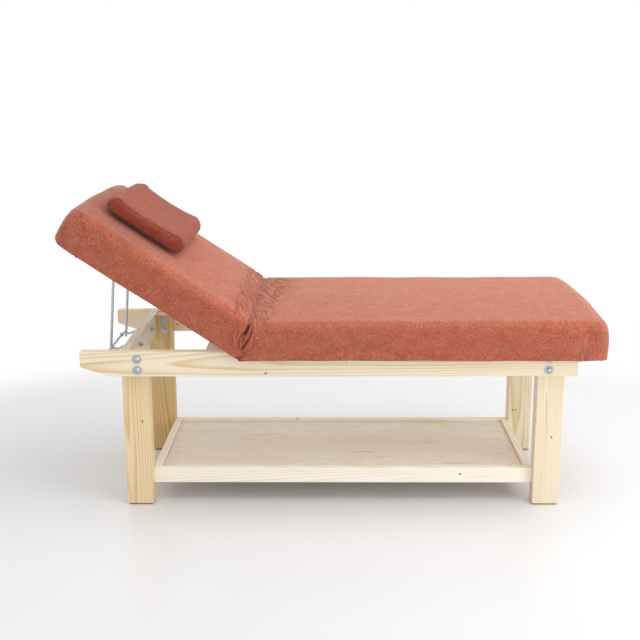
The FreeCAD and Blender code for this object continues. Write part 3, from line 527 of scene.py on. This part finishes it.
class COUCH_OT_fitted_cover(bpy.types.Operator):
    """One suede cover over seat and back, with its crease, folds, hems and seams"""
    bl_idname = "couch.fitted_cover"
    bl_label = "Fitted cover"

    def execute(self, context):
        cover = context.scene.couch_cover
        rows = []
        for half in (SEAT, BACK):
            slices = []
            for distance in stations(half.length, cover.end_round):
                ring = cover_ring(cover, half, distance)
                slices.append((half, distance, [placed(half.direction, distance, y, z) for y, z in ring]))
            slices += [(half, half.length, points) for points in end_rings(ring, half, cover.end_bulge)]
            rows = slices[::-1] if half is SEAT else rows + slices[1:]
        points = [point for row in rows for point in row[2]]
        cloth = finish("suede_cover", suede, cover, cover.painted_shade_colour)
        piece = piece_from("fitted_cover", points, lofted_faces(len(rows), AROUND), cloth)
        # sculpt gives back each point's painted shade, kept as the 'fold' attribute that the suede reads
        folds = sculpt(cover, piece, rows)
        shade = piece.data.attributes.new("fold", "FLOAT", "POINT")
        shade.data.foreach_set("value", folds)
        piece.data.set_sharp_from_angle(angle=HEM_ANGLE)
        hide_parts("seat_cover", "seat_foam", "back_cover", "back_foam")
        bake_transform(piece)
        return {"FINISHED"}


# Seams

# A stitch shows for a share of its pitch
STITCH_PITCH, STITCH_SHARE, STITCH_LIFT = 4.2 * MM, 0.68, 0.3 * MM
THREAD_RADIUS, THREAD_SIDES = 0.45 * MM, 6


def seam_path(piece, half):
    """The points of an end panel's seam on the finished cover, from hem to hem."""
    vertices = piece.data.vertices
    rest = LAID_FLAT if half.direction < 0 else Matrix.Identity(4)
    path = []
    for step in range(OUTER_START + 1, AROUND - OUTER_START):
        wanted = seam_distance(half.length, up_the_side(step)[1])
        column = [vertices[index] for index in range(step, len(vertices), AROUND)]
        away = [half.direction * ((rest @ vertex.co).x - HINGE.x) - wanted for vertex in column]
        for before, after, gap, next_gap in zip(column, column[1:], away, away[1:]):
            if gap * next_gap <= 0 and gap != next_gap:
                share = gap / (gap - next_gap)
                normal = before.normal.lerp(after.normal, share)
                path.append(before.co.lerp(after.co, share) + normal * STITCH_LIFT)
                break
    return path


def stitch_tree(material):
    """Geometry Nodes that set a small rounded thread on every pitch of a seam."""
    tree = bpy.data.node_groups.new("seam_stitches", "GeometryNodeTree")
    taken = [tree.interface.new_socket(name, in_out="INPUT", socket_type="NodeSocket" + kind)
             for name, kind in (("Geometry", "Geometry"), ("Pitch", "Float"), ("Thread radius", "Float"))]
    tree.interface.new_socket("Geometry", in_out="OUTPUT", socket_type="NodeSocketGeometry")
    given = add(tree, "NodeGroupInput").outputs
    line = add(tree, "GeometryNodeMeshToCurve", {"Mesh": given["Geometry"]})
    spots = add(tree, "GeometryNodeResampleCurve", {"Curve": line, "Length": given["Pitch"]}, mode="LENGTH")
    tangent = add(tree, "GeometryNodeInputTangent")
    aligned = add(tree, "FunctionNodeAlignRotationToVector", {"Vector": tangent}, axis="Z")
    length = add(tree, "ShaderNodeMath", {0: given["Pitch"], 1: STITCH_SHARE}, operation="MULTIPLY")
    stitch = add(tree, "GeometryNodeMeshCylinder", {"Vertices": THREAD_SIDES, "Radius": given["Thread radius"],
                                                    "Depth": length})
    set_out = add(tree, "GeometryNodeInstanceOnPoints", {"Points": spots, "Instance": stitch, "Rotation": aligned})
    real = add(tree, "GeometryNodeRealizeInstances", {"Geometry": set_out})
    dyed = add(tree, "GeometryNodeSetMaterial", {"Geometry": real, "Material": material})
    add(tree, "NodeGroupOutput", {"Geometry": dyed})
    return tree, taken[1].identifier, taken[2].identifier


class COUCH_OT_seam_stitches(bpy.types.Operator):
    """Stitches along the seams of the cover's two end panels"""
    bl_idname = "couch.seam_stitches"
    bl_label = "Seam stitches"

    def execute(self, context):
        cover = bpy.data.objects["fitted_cover"]
        tree, pitch, thread = stitch_tree(finish("seam_thread", sewing_thread, context.scene.couch_cover))
        for name, half, body in (("foot_seam_stitches", SEAT, "frame"), ("head_seam_stitches", BACK, "backrest")):
            path = seam_path(cover, half)
            mesh = bpy.data.meshes.new(name)
            mesh.from_pydata(path, [(step, step + 1) for step in range(len(path) - 1)], [])
            draft = put(name + "_draft", mesh)
            nodes = draft.modifiers.new("Stitches", "NODES")
            nodes.node_group = tree
            nodes[pitch] = STITCH_PITCH
            nodes[thread] = THREAD_RADIUS
            context.view_layer.update()
            ready = draft.evaluated_get(context.evaluated_depsgraph_get())
            stitched = bpy.data.meshes.new_from_object(ready)
            stitched.name = name
            bpy.data.objects.remove(draft)
            piece = put(name, stitched)
            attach(piece, body)
        return {"FINISHED"}


# Pillow

PROFILE_STEPS, FLAT_ROWS, ROLL_STEPS = 20, 16, 10
ROLL_TURN = math.radians(52)
# Where the pillow's outline turns, in shares of its length, and how high up its rolls stand out
BASE_START, BASE_END, HEAD_TOP, FOOT_TOP, ROLL_MIDDLE = 0.1, 0.9, 0.86, 0.12, 0.48
# Rows of the welt round a side panel, by how far drawn in and how far out, and rows of the panel
WELT_ROWS = ((-0.035, 0.4), (-0.02, 0.9), (0.02, 0.9), (0.045, 0.2))
PANEL_ROWS = (0.09, 0.2, 0.36, 0.55, 0.75, 0.93)
PILLOW_SLACK, PILLOW_RATE, PILLOW_BASE = 1.4 * MM, 9, 20 * MM


def arc_through(start, middle, end, steps):
    """Points on the circle through three points in a plane, without the last one."""
    a, b, c = complex(*start), complex(*middle), complex(*end)
    lean = (c - a) / (b - a)
    centre = a + (b - a) * (lean - abs(lean) ** 2) / (2j * lean.imag)
    turn = math.copysign(1, lean.imag)
    sweep = cmath.phase((c - centre) / (a - centre)) * turn % math.tau * turn
    points = [centre + (a - centre) * cmath.rect(1, sweep * step / steps) for step in range(steps)]
    return [(point.real, point.imag) for point in points]


def pillow_profile(pillow, fall):
    """The pillow's outline from the side, foot roll to head roll, as (along the back, up) points."""
    length = PILLOW_HIGH.x - PILLOW_LOW.x
    lift = fall * pillow.side_lift
    drop = fall * pillow.side_drop
    head = PILLOW_HIGH.z - PILLOW_LOW.z - pillow.settle - drop
    foot = pillow.foot - drop

    def at(share, height):
        return (share * length + fall * pillow.side_draw * (1 - 2 * share), height)

    corners = [at(BASE_START, lift), at(BASE_END, lift), at(HEAD_TOP, head), at(FOOT_TOP, foot)]
    bottom = [(corners[0][0] + (corners[1][0] - corners[0][0]) * step / PROFILE_STEPS, lift)
              for step in range(PROFILE_STEPS)]
    return (bottom + arc_through(corners[1], at(1, lift + (head - lift) * ROLL_MIDDLE), corners[2], PROFILE_STEPS)
            + arc_through(corners[2], at(0.5, pillow.waist - drop), corners[3], 2 * PROFILE_STEPS)
            + arc_through(corners[3], at(0, lift + (foot - lift) * ROLL_MIDDLE), corners[0], PROFILE_STEPS))


class COUCH_OT_head_pillow(bpy.types.Operator):
    """The loose contoured pillow on the back"""
    bl_idname = "couch.head_pillow"
    bl_label = "Head pillow"

    def execute(self, context):
        pillow = context.scene.couch_pillow
        half = PILLOW_HIGH.y
        flat_half = half - pillow.side_round
        half_rows = [(flat_half * step / FLAT_ROWS, pillow_profile(pillow, 0.0)) for step in range(1, FLAT_ROWS + 1)]
        for step in range(1, ROLL_STEPS + 1):
            angle = ROLL_TURN * step / ROLL_STEPS
            fall = (1 - math.cos(angle)) / (1 - math.cos(ROLL_TURN))
            y = flat_half + pillow.side_round * math.sin(angle) / math.sin(ROLL_TURN)
            half_rows.append((y, pillow_profile(pillow, fall)))
        edge = pillow_profile(pillow, 1.0)
        middle = sum(up for along, up in edge) / len(edge)
        for share, proud in WELT_ROWS:
            half_rows.append((half + proud * pillow.welt, drawn_in(edge, middle, share)))
        for share in PANEL_ROWS:
            half_rows.append((half + pillow.bulge * (1 - (1 - share) ** 2), drawn_in(edge, middle, share)))
        rows = [(-y, outline) for y, outline in half_rows[::-1]] + half_rows
        points = []
        for y, outline in rows:
            for along, up in outline:
                soft = PILLOW_SLACK * noise.noise(Vector((along, y, up)) * PILLOW_RATE) * smooth(up / PILLOW_BASE)
                points.append(BACK_TURN @ Vector((PILLOW_HIGH.x - along, y, PILLOW_LOW.z + up + soft)))
        cloth = finish("suede_pillow", suede, pillow, context.scene.couch_cover.painted_shade_colour)
        piece = piece_from("contour_pillow", points, lofted_faces(len(rows), len(rows[0][1])), cloth)
        # The pillow gets no painted shade: its 'fold' attribute is 0 everywhere
        shade = piece.data.attributes.new("fold", "FLOAT", "POINT")
        shade.data.foreach_set("value", [0.0] * len(points))
        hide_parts("head_pillow")
        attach(piece, "pillow")
        return {"FINISHED"}


# Materials

def add(tree, kind, links=None, **settings):
    """Adds a node with its settings, and sets or links its inputs. A node given as an input stands for the first of
    its outputs that is in use."""
    node = tree.nodes.new(kind)
    for name, value in settings.items():
        setattr(node, name, value)
    for socket, value in (links or {}).items():
        if isinstance(value, bpy.types.Node):
            value = next(output for output in value.outputs if output.enabled)
        if isinstance(value, bpy.types.NodeSocket):
            tree.links.new(value, node.inputs[socket])
        else:
            node.inputs[socket].default_value = value
    return node


def empty_tree(owner):
    """The emptied node tree of a material or world."""
    owner.use_nodes = True
    owner.node_tree.nodes.clear()
    return owner.node_tree


def finish(name, surface, *given):
    """A new material, with the surface that a function builds from the object's own coordinates and what is given."""
    material = bpy.data.materials.new(name)
    tree = empty_tree(material)
    where = add(tree, "ShaderNodeTexCoord").outputs["Object"]
    add(tree, "ShaderNodeOutputMaterial", {"Surface": surface(tree, where, *given)})
    return material


def opaque(colour):
    """A colour with full alpha, as a socket takes it."""
    return (*colour, 1.0)


def between(first, second, share):
    """A colour on the way from one to another."""
    return [a + (b - a) * share for a, b in zip(first, second)]


def per_mm(*lengths):
    """The scale that makes a pattern so many millimetres long along x, y and z."""
    return [1 / (length * MM) for length in lengths]


# How much mottling, ribs and pile each change the nap's tone, and the shift that centres it
MOTTLE_SHARE, RIB_SHARE, PILE_SHARE, NAP_SHIFT = 0.3, 0.7, 0.8, -0.4


def suede(tree, where, look, painted_shade_colour):
    """Short-pile stretch suede: matt, with a soft sheen at grazing angles and a grainy nap along its fine ribs."""
    mottle = add(tree, "ShaderNodeTexNoise", {"Vector": where, "Scale": 1 / (40 * MM), "Detail": 4.0,
                                              "Roughness": 0.6})
    # Ribs and pile are finer than a pixel, so they are drawn coarse enough to show, and long across the couch
    ribbed = add(tree, "ShaderNodeMapping", {"Vector": where, "Scale": per_mm(3, 13, 7)})
    ribs = add(tree, "ShaderNodeTexNoise", {"Vector": ribbed, "Scale": 1.0, "Detail": 2.0})
    pile = add(tree, "ShaderNodeTexNoise", {"Vector": where, "Scale": 1 / (2.2 * MM), "Detail": 3.0,
                                            "Roughness": 0.7})
    grain = NAP_SHIFT
    for pattern, share in ((mottle, MOTTLE_SHARE), (ribs, RIB_SHARE), (pile, PILE_SHARE)):
        grain = add(tree, "ShaderNodeMath", {0: pattern, 1: share, 2: grain}, operation="MULTIPLY_ADD")
    nap = add(tree, "ShaderNodeValToRGB", {"Fac": grain})
    stops = nap.color_ramp.elements
    stops.new(0.5).color = opaque(look.nap)
    stops[0].position, stops[0].color = 0.24, opaque(look.nap_dark)
    stops[2].position, stops[2].color = 0.76, opaque(look.nap_light)
    # Painted shade: the 'fold' attribute mixes the nap towards the shade colour
    fold = add(tree, "ShaderNodeAttribute", attribute_name="fold").outputs["Fac"]
    tone = add(tree, "ShaderNodeMix", {0: fold, 6: nap, 7: opaque(painted_shade_colour)}, data_type="RGBA")
    bump = add(tree, "ShaderNodeBump", {"Height": grain, "Strength": 0.5, "Distance": 0.8 * MM})
    return add(tree, "ShaderNodeBsdfPrincipled",
               {"Base Color": tone, "Normal": bump, "Roughness": 0.95, "Specular IOR Level": 0.15,
                "Sheen Weight": look.sheen, "Sheen Roughness": 0.45, "Sheen Tint": opaque(linear("F5DECC"))})


def sewing_thread(tree, where, look):
    """Polyester sewing thread: a little glossier than the cloth it sews."""
    twist = add(tree, "ShaderNodeTexNoise", {"Vector": where, "Scale": 1 / MM})
    bump = add(tree, "ShaderNodeBump", {"Height": twist, "Strength": 0.3, "Distance": 0.2 * MM})
    return add(tree, "ShaderNodeBsdfPrincipled", {"Base Color": opaque(look.thread), "Normal": bump,
                                                  "Roughness": 0.6})


# What turns the grain to the x axis, for planks along x, y and z
GRAIN_TURN = ((0, 0, 0), (0, 0, -math.pi / 2), (0, math.pi / 2, 0))
# How far the tree's heart lies from a plank's middle, how far round from plank to plank, and how it slants
HEART_OFFSET, HEART_STEP = 34 * MM, 2.4
HEART_SLANT = (math.radians(2.2), math.radians(1.3))
# A ring texture's lines are this far apart at a scale of 1; along the grain they are stretched
RING_STEP, RING_STRETCH = 0.314, (0.09, 1, 1)


def pine(tree, where, grain, heart, early, late, look):
    """Planed pine under clear lacquer: pale wood whose growth rings, cut at a slant, show as arches and lines,
    with fine fibres and a few knots."""
    centred = add(tree, "ShaderNodeVectorMath", {0: where, 1: heart}, operation="SUBTRACT")
    turned = add(tree, "ShaderNodeMapping", {"Vector": centred, "Rotation": GRAIN_TURN[grain]})
    slanted = add(tree, "ShaderNodeMapping", {"Vector": turned, "Rotation": (0, *HEART_SLANT)})
    stretched = add(tree, "ShaderNodeMapping", {"Vector": slanted, "Scale": RING_STRETCH})
    rings = add(tree, "ShaderNodeTexWave",
                {"Vector": stretched, "Scale": RING_STEP / look.ring, "Distortion": 5.0, "Detail": 2.0,
                 "Detail Scale": 0.3, "Detail Roughness": 0.55},
                wave_type="RINGS", rings_direction="X", wave_profile="SAW")
    wood = add(tree, "ShaderNodeValToRGB", {"Fac": rings.outputs["Fac"]})
    stops = wood.color_ramp.elements
    stops[0].color = stops[1].color = opaque(early)
    stops.new(0.45).color = opaque(between(early, late, 0.15))
    stops.new(0.86).color = opaque(late)
    # Fibres, paler bands and the room that each knot has, in millimetres along the grain and across it
    fine, broad, spaced = [add(tree, "ShaderNodeMapping", {"Vector": turned, "Scale": per_mm(*size)})
                           for size in ((140, 2.4, 2.4), (420, 38, 38), (66, 46, 46))]
    bands = add(tree, "ShaderNodeTexNoise", {"Vector": broad, "Scale": 1.0, "Detail": 2.0})
    fade = add(tree, "ShaderNodeMapRange", {"Value": bands, "From Min": 0.35, "From Max": 0.65, "To Max": 0.55})
    uneven = add(tree, "ShaderNodeMix", {0: fade, 6: wood, 7: opaque(early)}, data_type="RGBA")
    fibres = add(tree, "ShaderNodeTexNoise", {"Vector": fine, "Scale": 1.0, "Detail": 3.0})
    streak = add(tree, "ShaderNodeMapRange", {"Value": fibres, "From Min": 0.35, "From Max": 0.7, "To Max": 0.35})
    fibred = add(tree, "ShaderNodeMix", {0: streak, 6: uneven, 7: opaque(between(early, late, 0.45))},
                 data_type="RGBA")
    knots = add(tree, "ShaderNodeTexVoronoi", {"Vector": spaced, "Scale": 1.0}).outputs
    near = add(tree, "ShaderNodeMapRange", {"Value": knots["Distance"], "From Min": 0.04, "From Max": 0.11,
                                            "To Min": 0.9, "To Max": 0.0})
    chosen = add(tree, "ShaderNodeSeparateColor", {"Color": knots["Color"]})
    rare = add(tree, "ShaderNodeMath", {0: chosen, 1: 0.5}, operation="GREATER_THAN")
    knot = add(tree, "ShaderNodeMath", {0: near, 1: rare}, operation="MULTIPLY")
    knotted = add(tree, "ShaderNodeMix", {0: knot, 6: fibred, 7: opaque(look.knot)}, data_type="RGBA")
    bump = add(tree, "ShaderNodeBump", {"Height": fibres, "Strength": 0.12, "Distance": 0.3 * MM})
    return add(tree, "ShaderNodeBsdfPrincipled", {"Base Color": knotted, "Normal": bump, "Roughness": 0.45,
                                                  "Specular IOR Level": 0.4})


def plywood(tree, where, look):
    """Sanded plywood under thin lacquer: a grey-beige face veneer with broad faint bands and a few thin lines."""
    # Bands, thin lines and pores, in millimetres along the grain and across it
    wide, thin, fine = [add(tree, "ShaderNodeMapping", {"Vector": where, "Scale": per_mm(*size)})
                        for size in ((800, 70, 70), (190, 11, 11), (40, 4, 4))]
    bands = add(tree, "ShaderNodeTexNoise", {"Vector": wide, "Scale": 1.0, "Detail": 3.0})
    lines = add(tree, "ShaderNodeTexNoise", {"Vector": thin, "Scale": 1.0, "Detail": 2.0})
    pores = add(tree, "ShaderNodeTexNoise", {"Vector": fine, "Scale": 1.0, "Detail": 2.0})
    face = add(tree, "ShaderNodeValToRGB", {"Fac": bands})
    stops = face.color_ramp.elements
    stops[0].position, stops[0].color = 0.3, opaque(look.veneer_line)
    stops[1].position, stops[1].color = 0.55, opaque(look.veneer)
    scratch = add(tree, "ShaderNodeMapRange", {"Value": lines, "From Min": 0.67, "From Max": 0.73, "To Max": 0.6})
    speck = add(tree, "ShaderNodeMapRange", {"Value": pores, "From Min": 0.35, "From Max": 0.65, "To Min": 0.25,
                                             "To Max": 0.0})
    marks = add(tree, "ShaderNodeMath", {0: scratch, 1: speck}, operation="MAXIMUM")
    marked = add(tree, "ShaderNodeMix", {0: marks, 6: face, 7: opaque(look.veneer_mark)}, data_type="RGBA")
    bump = add(tree, "ShaderNodeBump", {"Height": pores, "Strength": 0.1, "Distance": 0.3 * MM})
    return add(tree, "ShaderNodeBsdfPrincipled", {"Base Color": marked, "Normal": bump, "Roughness": 0.42,
                                                  "Specular IOR Level": 0.4})


def zinc_plate(tree, where, look):
    """Bright zinc-plated steel: a grey metal with a slightly cloudy, drawn surface."""
    cloud = add(tree, "ShaderNodeTexNoise", {"Vector": where, "Scale": 1 / (9 * MM), "Detail": 4.0})
    rough = add(tree, "ShaderNodeMapRange", {"Value": cloud, "To Min": 0.2, "To Max": 0.42})
    bump = add(tree, "ShaderNodeBump", {"Height": cloud, "Strength": 0.08, "Distance": 0.2 * MM})
    return add(tree, "ShaderNodeBsdfPrincipled", {"Base Color": opaque(look.zinc), "Metallic": 1.0,
                                                  "Roughness": rough, "Normal": bump})


def moulded(tree, where, colour, roughness, grit):
    """A moulded black part, matt from the texture of its mould."""
    texture = add(tree, "ShaderNodeTexNoise", {"Vector": where, "Scale": 1 / grit, "Detail": 3.0})
    bump = add(tree, "ShaderNodeBump", {"Height": texture, "Strength": 0.25, "Distance": 0.2 * MM})
    return add(tree, "ShaderNodeBsdfPrincipled", {"Base Color": opaque(colour), "Roughness": roughness,
                                                  "Normal": bump})


def dress(node, material):
    """Gives a CAD node a finish."""
    mesh = frame["nodes"][node].data
    mesh.materials.clear()
    mesh.materials.append(material)


def nodes_in(*slots):
    """The CAD nodes whose record entry names one of these material slots."""
    return [entry["node"] for entry in frame["record"]["subparts"] if entry["material_slot"] in slots]


def plank_of(node, middle):
    """Which of the kinds of plank a CAD node is."""
    if node in nodes_in("pine_leg"):
        # The far head leg's darker tone is painted shade
        head_leg = "near_head_leg" if middle.y < 0 else "far_head_leg"
        return head_leg if middle.x < 0 else "foot_leg"
    if node.startswith("shelf"):
        return "shelf"
    return "crossbeam" if node.endswith("crossbeam") else "rail"


class COUCH_OT_timber(bpy.types.Operator):
    """Pine and plywood finishes, with the grain along each plank"""
    bl_idname = "couch.timber"
    bl_label = "Timber"

    def execute(self, context):
        look = context.scene.couch_timber
        for number, node in enumerate(nodes_in("pine_rail", "pine_leg")):
            low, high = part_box(node)
            size, middle = high - low, (high + low) / 2
            grain = max(range(3), key=lambda axis: size[axis])
            plank = plank_of(node, middle)
            early, late = [list(getattr(look, f"{plank}_{wood}")) for wood in ("early", "late")]
            turn = HEART_STEP * number
            heart = middle + HEART_OFFSET * Vector((math.sin(turn), math.cos(turn), math.cos(turn + 1)))
            dress(node, finish(f"pine_{node}", pine, grain, heart, early, late, look))
        veneered = finish("plywood_veneer", plywood, look)
        for node in nodes_in("plywood"):
            dress(node, veneered)
        return {"FINISHED"}


CAP_ROUGHNESS, CAP_GRIT = 0.5, 1.2 * MM
RUBBER_ROUGHNESS, RUBBER_GRIT = 0.8, 2 * MM


class COUCH_OT_hardware(bpy.types.Operator):
    """Zinc-plated steel, black end caps and rubber foot pads"""
    bl_idname = "couch.hardware"
    bl_label = "Hardware"

    def execute(self, context):
        look = context.scene.couch_hardware
        finishes = {"zinc_steel": finish("zinc_plated_steel", zinc_plate, look),
                    "black_cap": finish("moulded_cap", moulded, look.plastic, CAP_ROUGHNESS, CAP_GRIT),
                    "foot_rubber": finish("moulded_rubber", moulded, look.rubber, RUBBER_ROUGHNESS, RUBBER_GRIT)}
        for slot, material in finishes.items():
            for node in nodes_in(slot):
                dress(node, material)
        return {"FINISHED"}


# Stage

FLOOR_SIDES = 96
# The floor fades to white between these distances from a point in front of the couch
FADE_MIDDLE, FADE_START, FADE_END = (0, -0.9, 0), 2.2, 2.8
ROOM_LIGHT = 0.85
# Each lamp's place, side in metres and power in watts
SOFTBOXES = {"overhead_softbox": ((1.3, -0.6, 3.1), 3.0, 52), "front_softbox": ((2.7, -2.3, 0.8), 1.6, 24)}
LIGHT_AIM = Vector((0, 0, 0.5))
# In millimetres, as the lens is
SENSOR_WIDTH = 36


def seen_rays(tree):
    """1 for rays that show the room itself: from the camera, in a mirror or through glass."""
    path = add(tree, "ShaderNodeLightPath").outputs
    mirrored = add(tree, "ShaderNodeMath", {0: path["Is Camera Ray"], 1: path["Is Glossy Ray"]}, operation="MAXIMUM")
    return add(tree, "ShaderNodeMath", {0: mirrored, 1: path["Is Transmission Ray"]}, operation="MAXIMUM")


def pale_floor(tree, where, stage):
    """A pale polished floor that fades to the white of the room."""
    away = add(tree, "ShaderNodeVectorMath", {0: where, 1: FADE_MIDDLE}, operation="DISTANCE")
    fade = add(tree, "ShaderNodeMapRange", {"Value": away, "From Min": FADE_START, "From Max": FADE_END},
               interpolation_type="SMOOTHSTEP")
    far_off = add(tree, "ShaderNodeMath", {0: fade, 1: seen_rays(tree)}, operation="MULTIPLY")
    polished = add(tree, "ShaderNodeBsdfPrincipled", {"Base Color": opaque(stage.floor), "Roughness": 0.22,
                                                      "Specular IOR Level": 0.35})
    white = add(tree, "ShaderNodeEmission", {"Color": (1, 1, 1, 1), "Strength": 1.0})
    return add(tree, "ShaderNodeMixShader", {0: far_off, 1: polished, 2: white})


class COUCH_OT_stage(bpy.types.Operator):
    """Floor, studio light and the camera"""
    bl_idname = "couch.stage"
    bl_label = "Stage"

    def execute(self, context):
        scene = context.scene
        stage = scene.couch_stage
        turns = [math.tau * step / FLOOR_SIDES for step in range(FLOOR_SIDES)]
        ring = [(stage.floor_radius * math.cos(turn), stage.floor_radius * math.sin(turn), 0.0) for turn in turns]
        mesh = bpy.data.meshes.new("floor")
        mesh.from_pydata(ring, [], [tuple(range(FLOOR_SIDES))])
        mesh.materials.append(finish("polished_floor", pale_floor, stage))
        floor = put("floor", mesh)
        scene.world = bpy.data.worlds.new("studio_room")
        tree = empty_tree(scene.world)
        light = add(tree, "ShaderNodeMapRange", {"Value": seen_rays(tree), "To Min": ROOM_LIGHT, "To Max": 1.0})
        room = add(tree, "ShaderNodeBackground", {"Color": (1, 1, 1, 1), "Strength": light})
        add(tree, "ShaderNodeOutputWorld", {"Surface": room})
        for name, (place, size, energy) in SOFTBOXES.items():
            lamp = bpy.data.lights.new(name, "AREA")
            lamp.shape, lamp.size, lamp.energy = "SQUARE", size, energy
            box = put(name, lamp)
            box.location = place
            box.rotation_euler = (LIGHT_AIM - Vector(place)).to_track_quat("-Z", "Y").to_euler()
        lens = bpy.data.cameras.new("photo_camera")
        lens.lens = stage.lens
        lens.sensor_width = SENSOR_WIDTH
        camera = put("photo_camera", lens)
        camera.matrix_world = (Matrix.Translation(stage.eye) @ Matrix.Rotation(stage.yaw, 4, "Z")
                               @ Matrix.Rotation(math.pi / 2 - stage.pitch, 4, "X")
                               @ Matrix.Rotation(stage.roll, 4, "Z"))
        scene.camera = camera
        scene.view_settings.view_transform = "Standard"
        return {"FINISHED"}


class COUCH_PT_panel(bpy.types.Panel):
    """Lists the couch's pieces"""
    bl_idname = "COUCH_PT_panel"
    bl_label = "Beauty couch"
    bl_space_type = "VIEW_3D"
    bl_region_type = "UI"
    bl_category = "Couch"

    def draw(self, context):
        for operator in OPERATORS:
            self.layout.operator(operator.bl_idname)


SETTINGS = {"couch_cover": CoverSizes, "couch_pillow": PillowSizes, "couch_timber": TimberLook,
            "couch_hardware": HardwareLook, "couch_stage": StageSetup}
OPERATORS = (COUCH_OT_timber, COUCH_OT_hardware, COUCH_OT_fitted_cover, COUCH_OT_seam_stitches,
             COUCH_OT_head_pillow, COUCH_OT_stage)


def register():
    """Registers the settings, operators and panel."""
    for name, group in SETTINGS.items():
        bpy.utils.register_class(group)
        setattr(bpy.types.Scene, name, PointerProperty(type=group))
    for kind in (*OPERATORS, COUCH_PT_panel):
        bpy.utils.register_class(kind)


def unregister():
    """Removes them again."""
    for kind in (COUCH_PT_panel, *reversed(OPERATORS)):
        bpy.utils.unregister_class(kind)
    for name, group in SETTINGS.items():
        delattr(bpy.types.Scene, name)
        bpy.utils.unregister_class(group)


def main():
    """Registers the add-on and dresses the whole couch."""
    register()
    bpy.ops.couch.timber()
    bpy.ops.couch.hardware()
    bpy.ops.couch.fitted_cover()
    bpy.ops.couch.seam_stitches()
    bpy.ops.couch.head_pillow()
    bpy.ops.couch.stage()


if __name__ == "__main__":
    main()
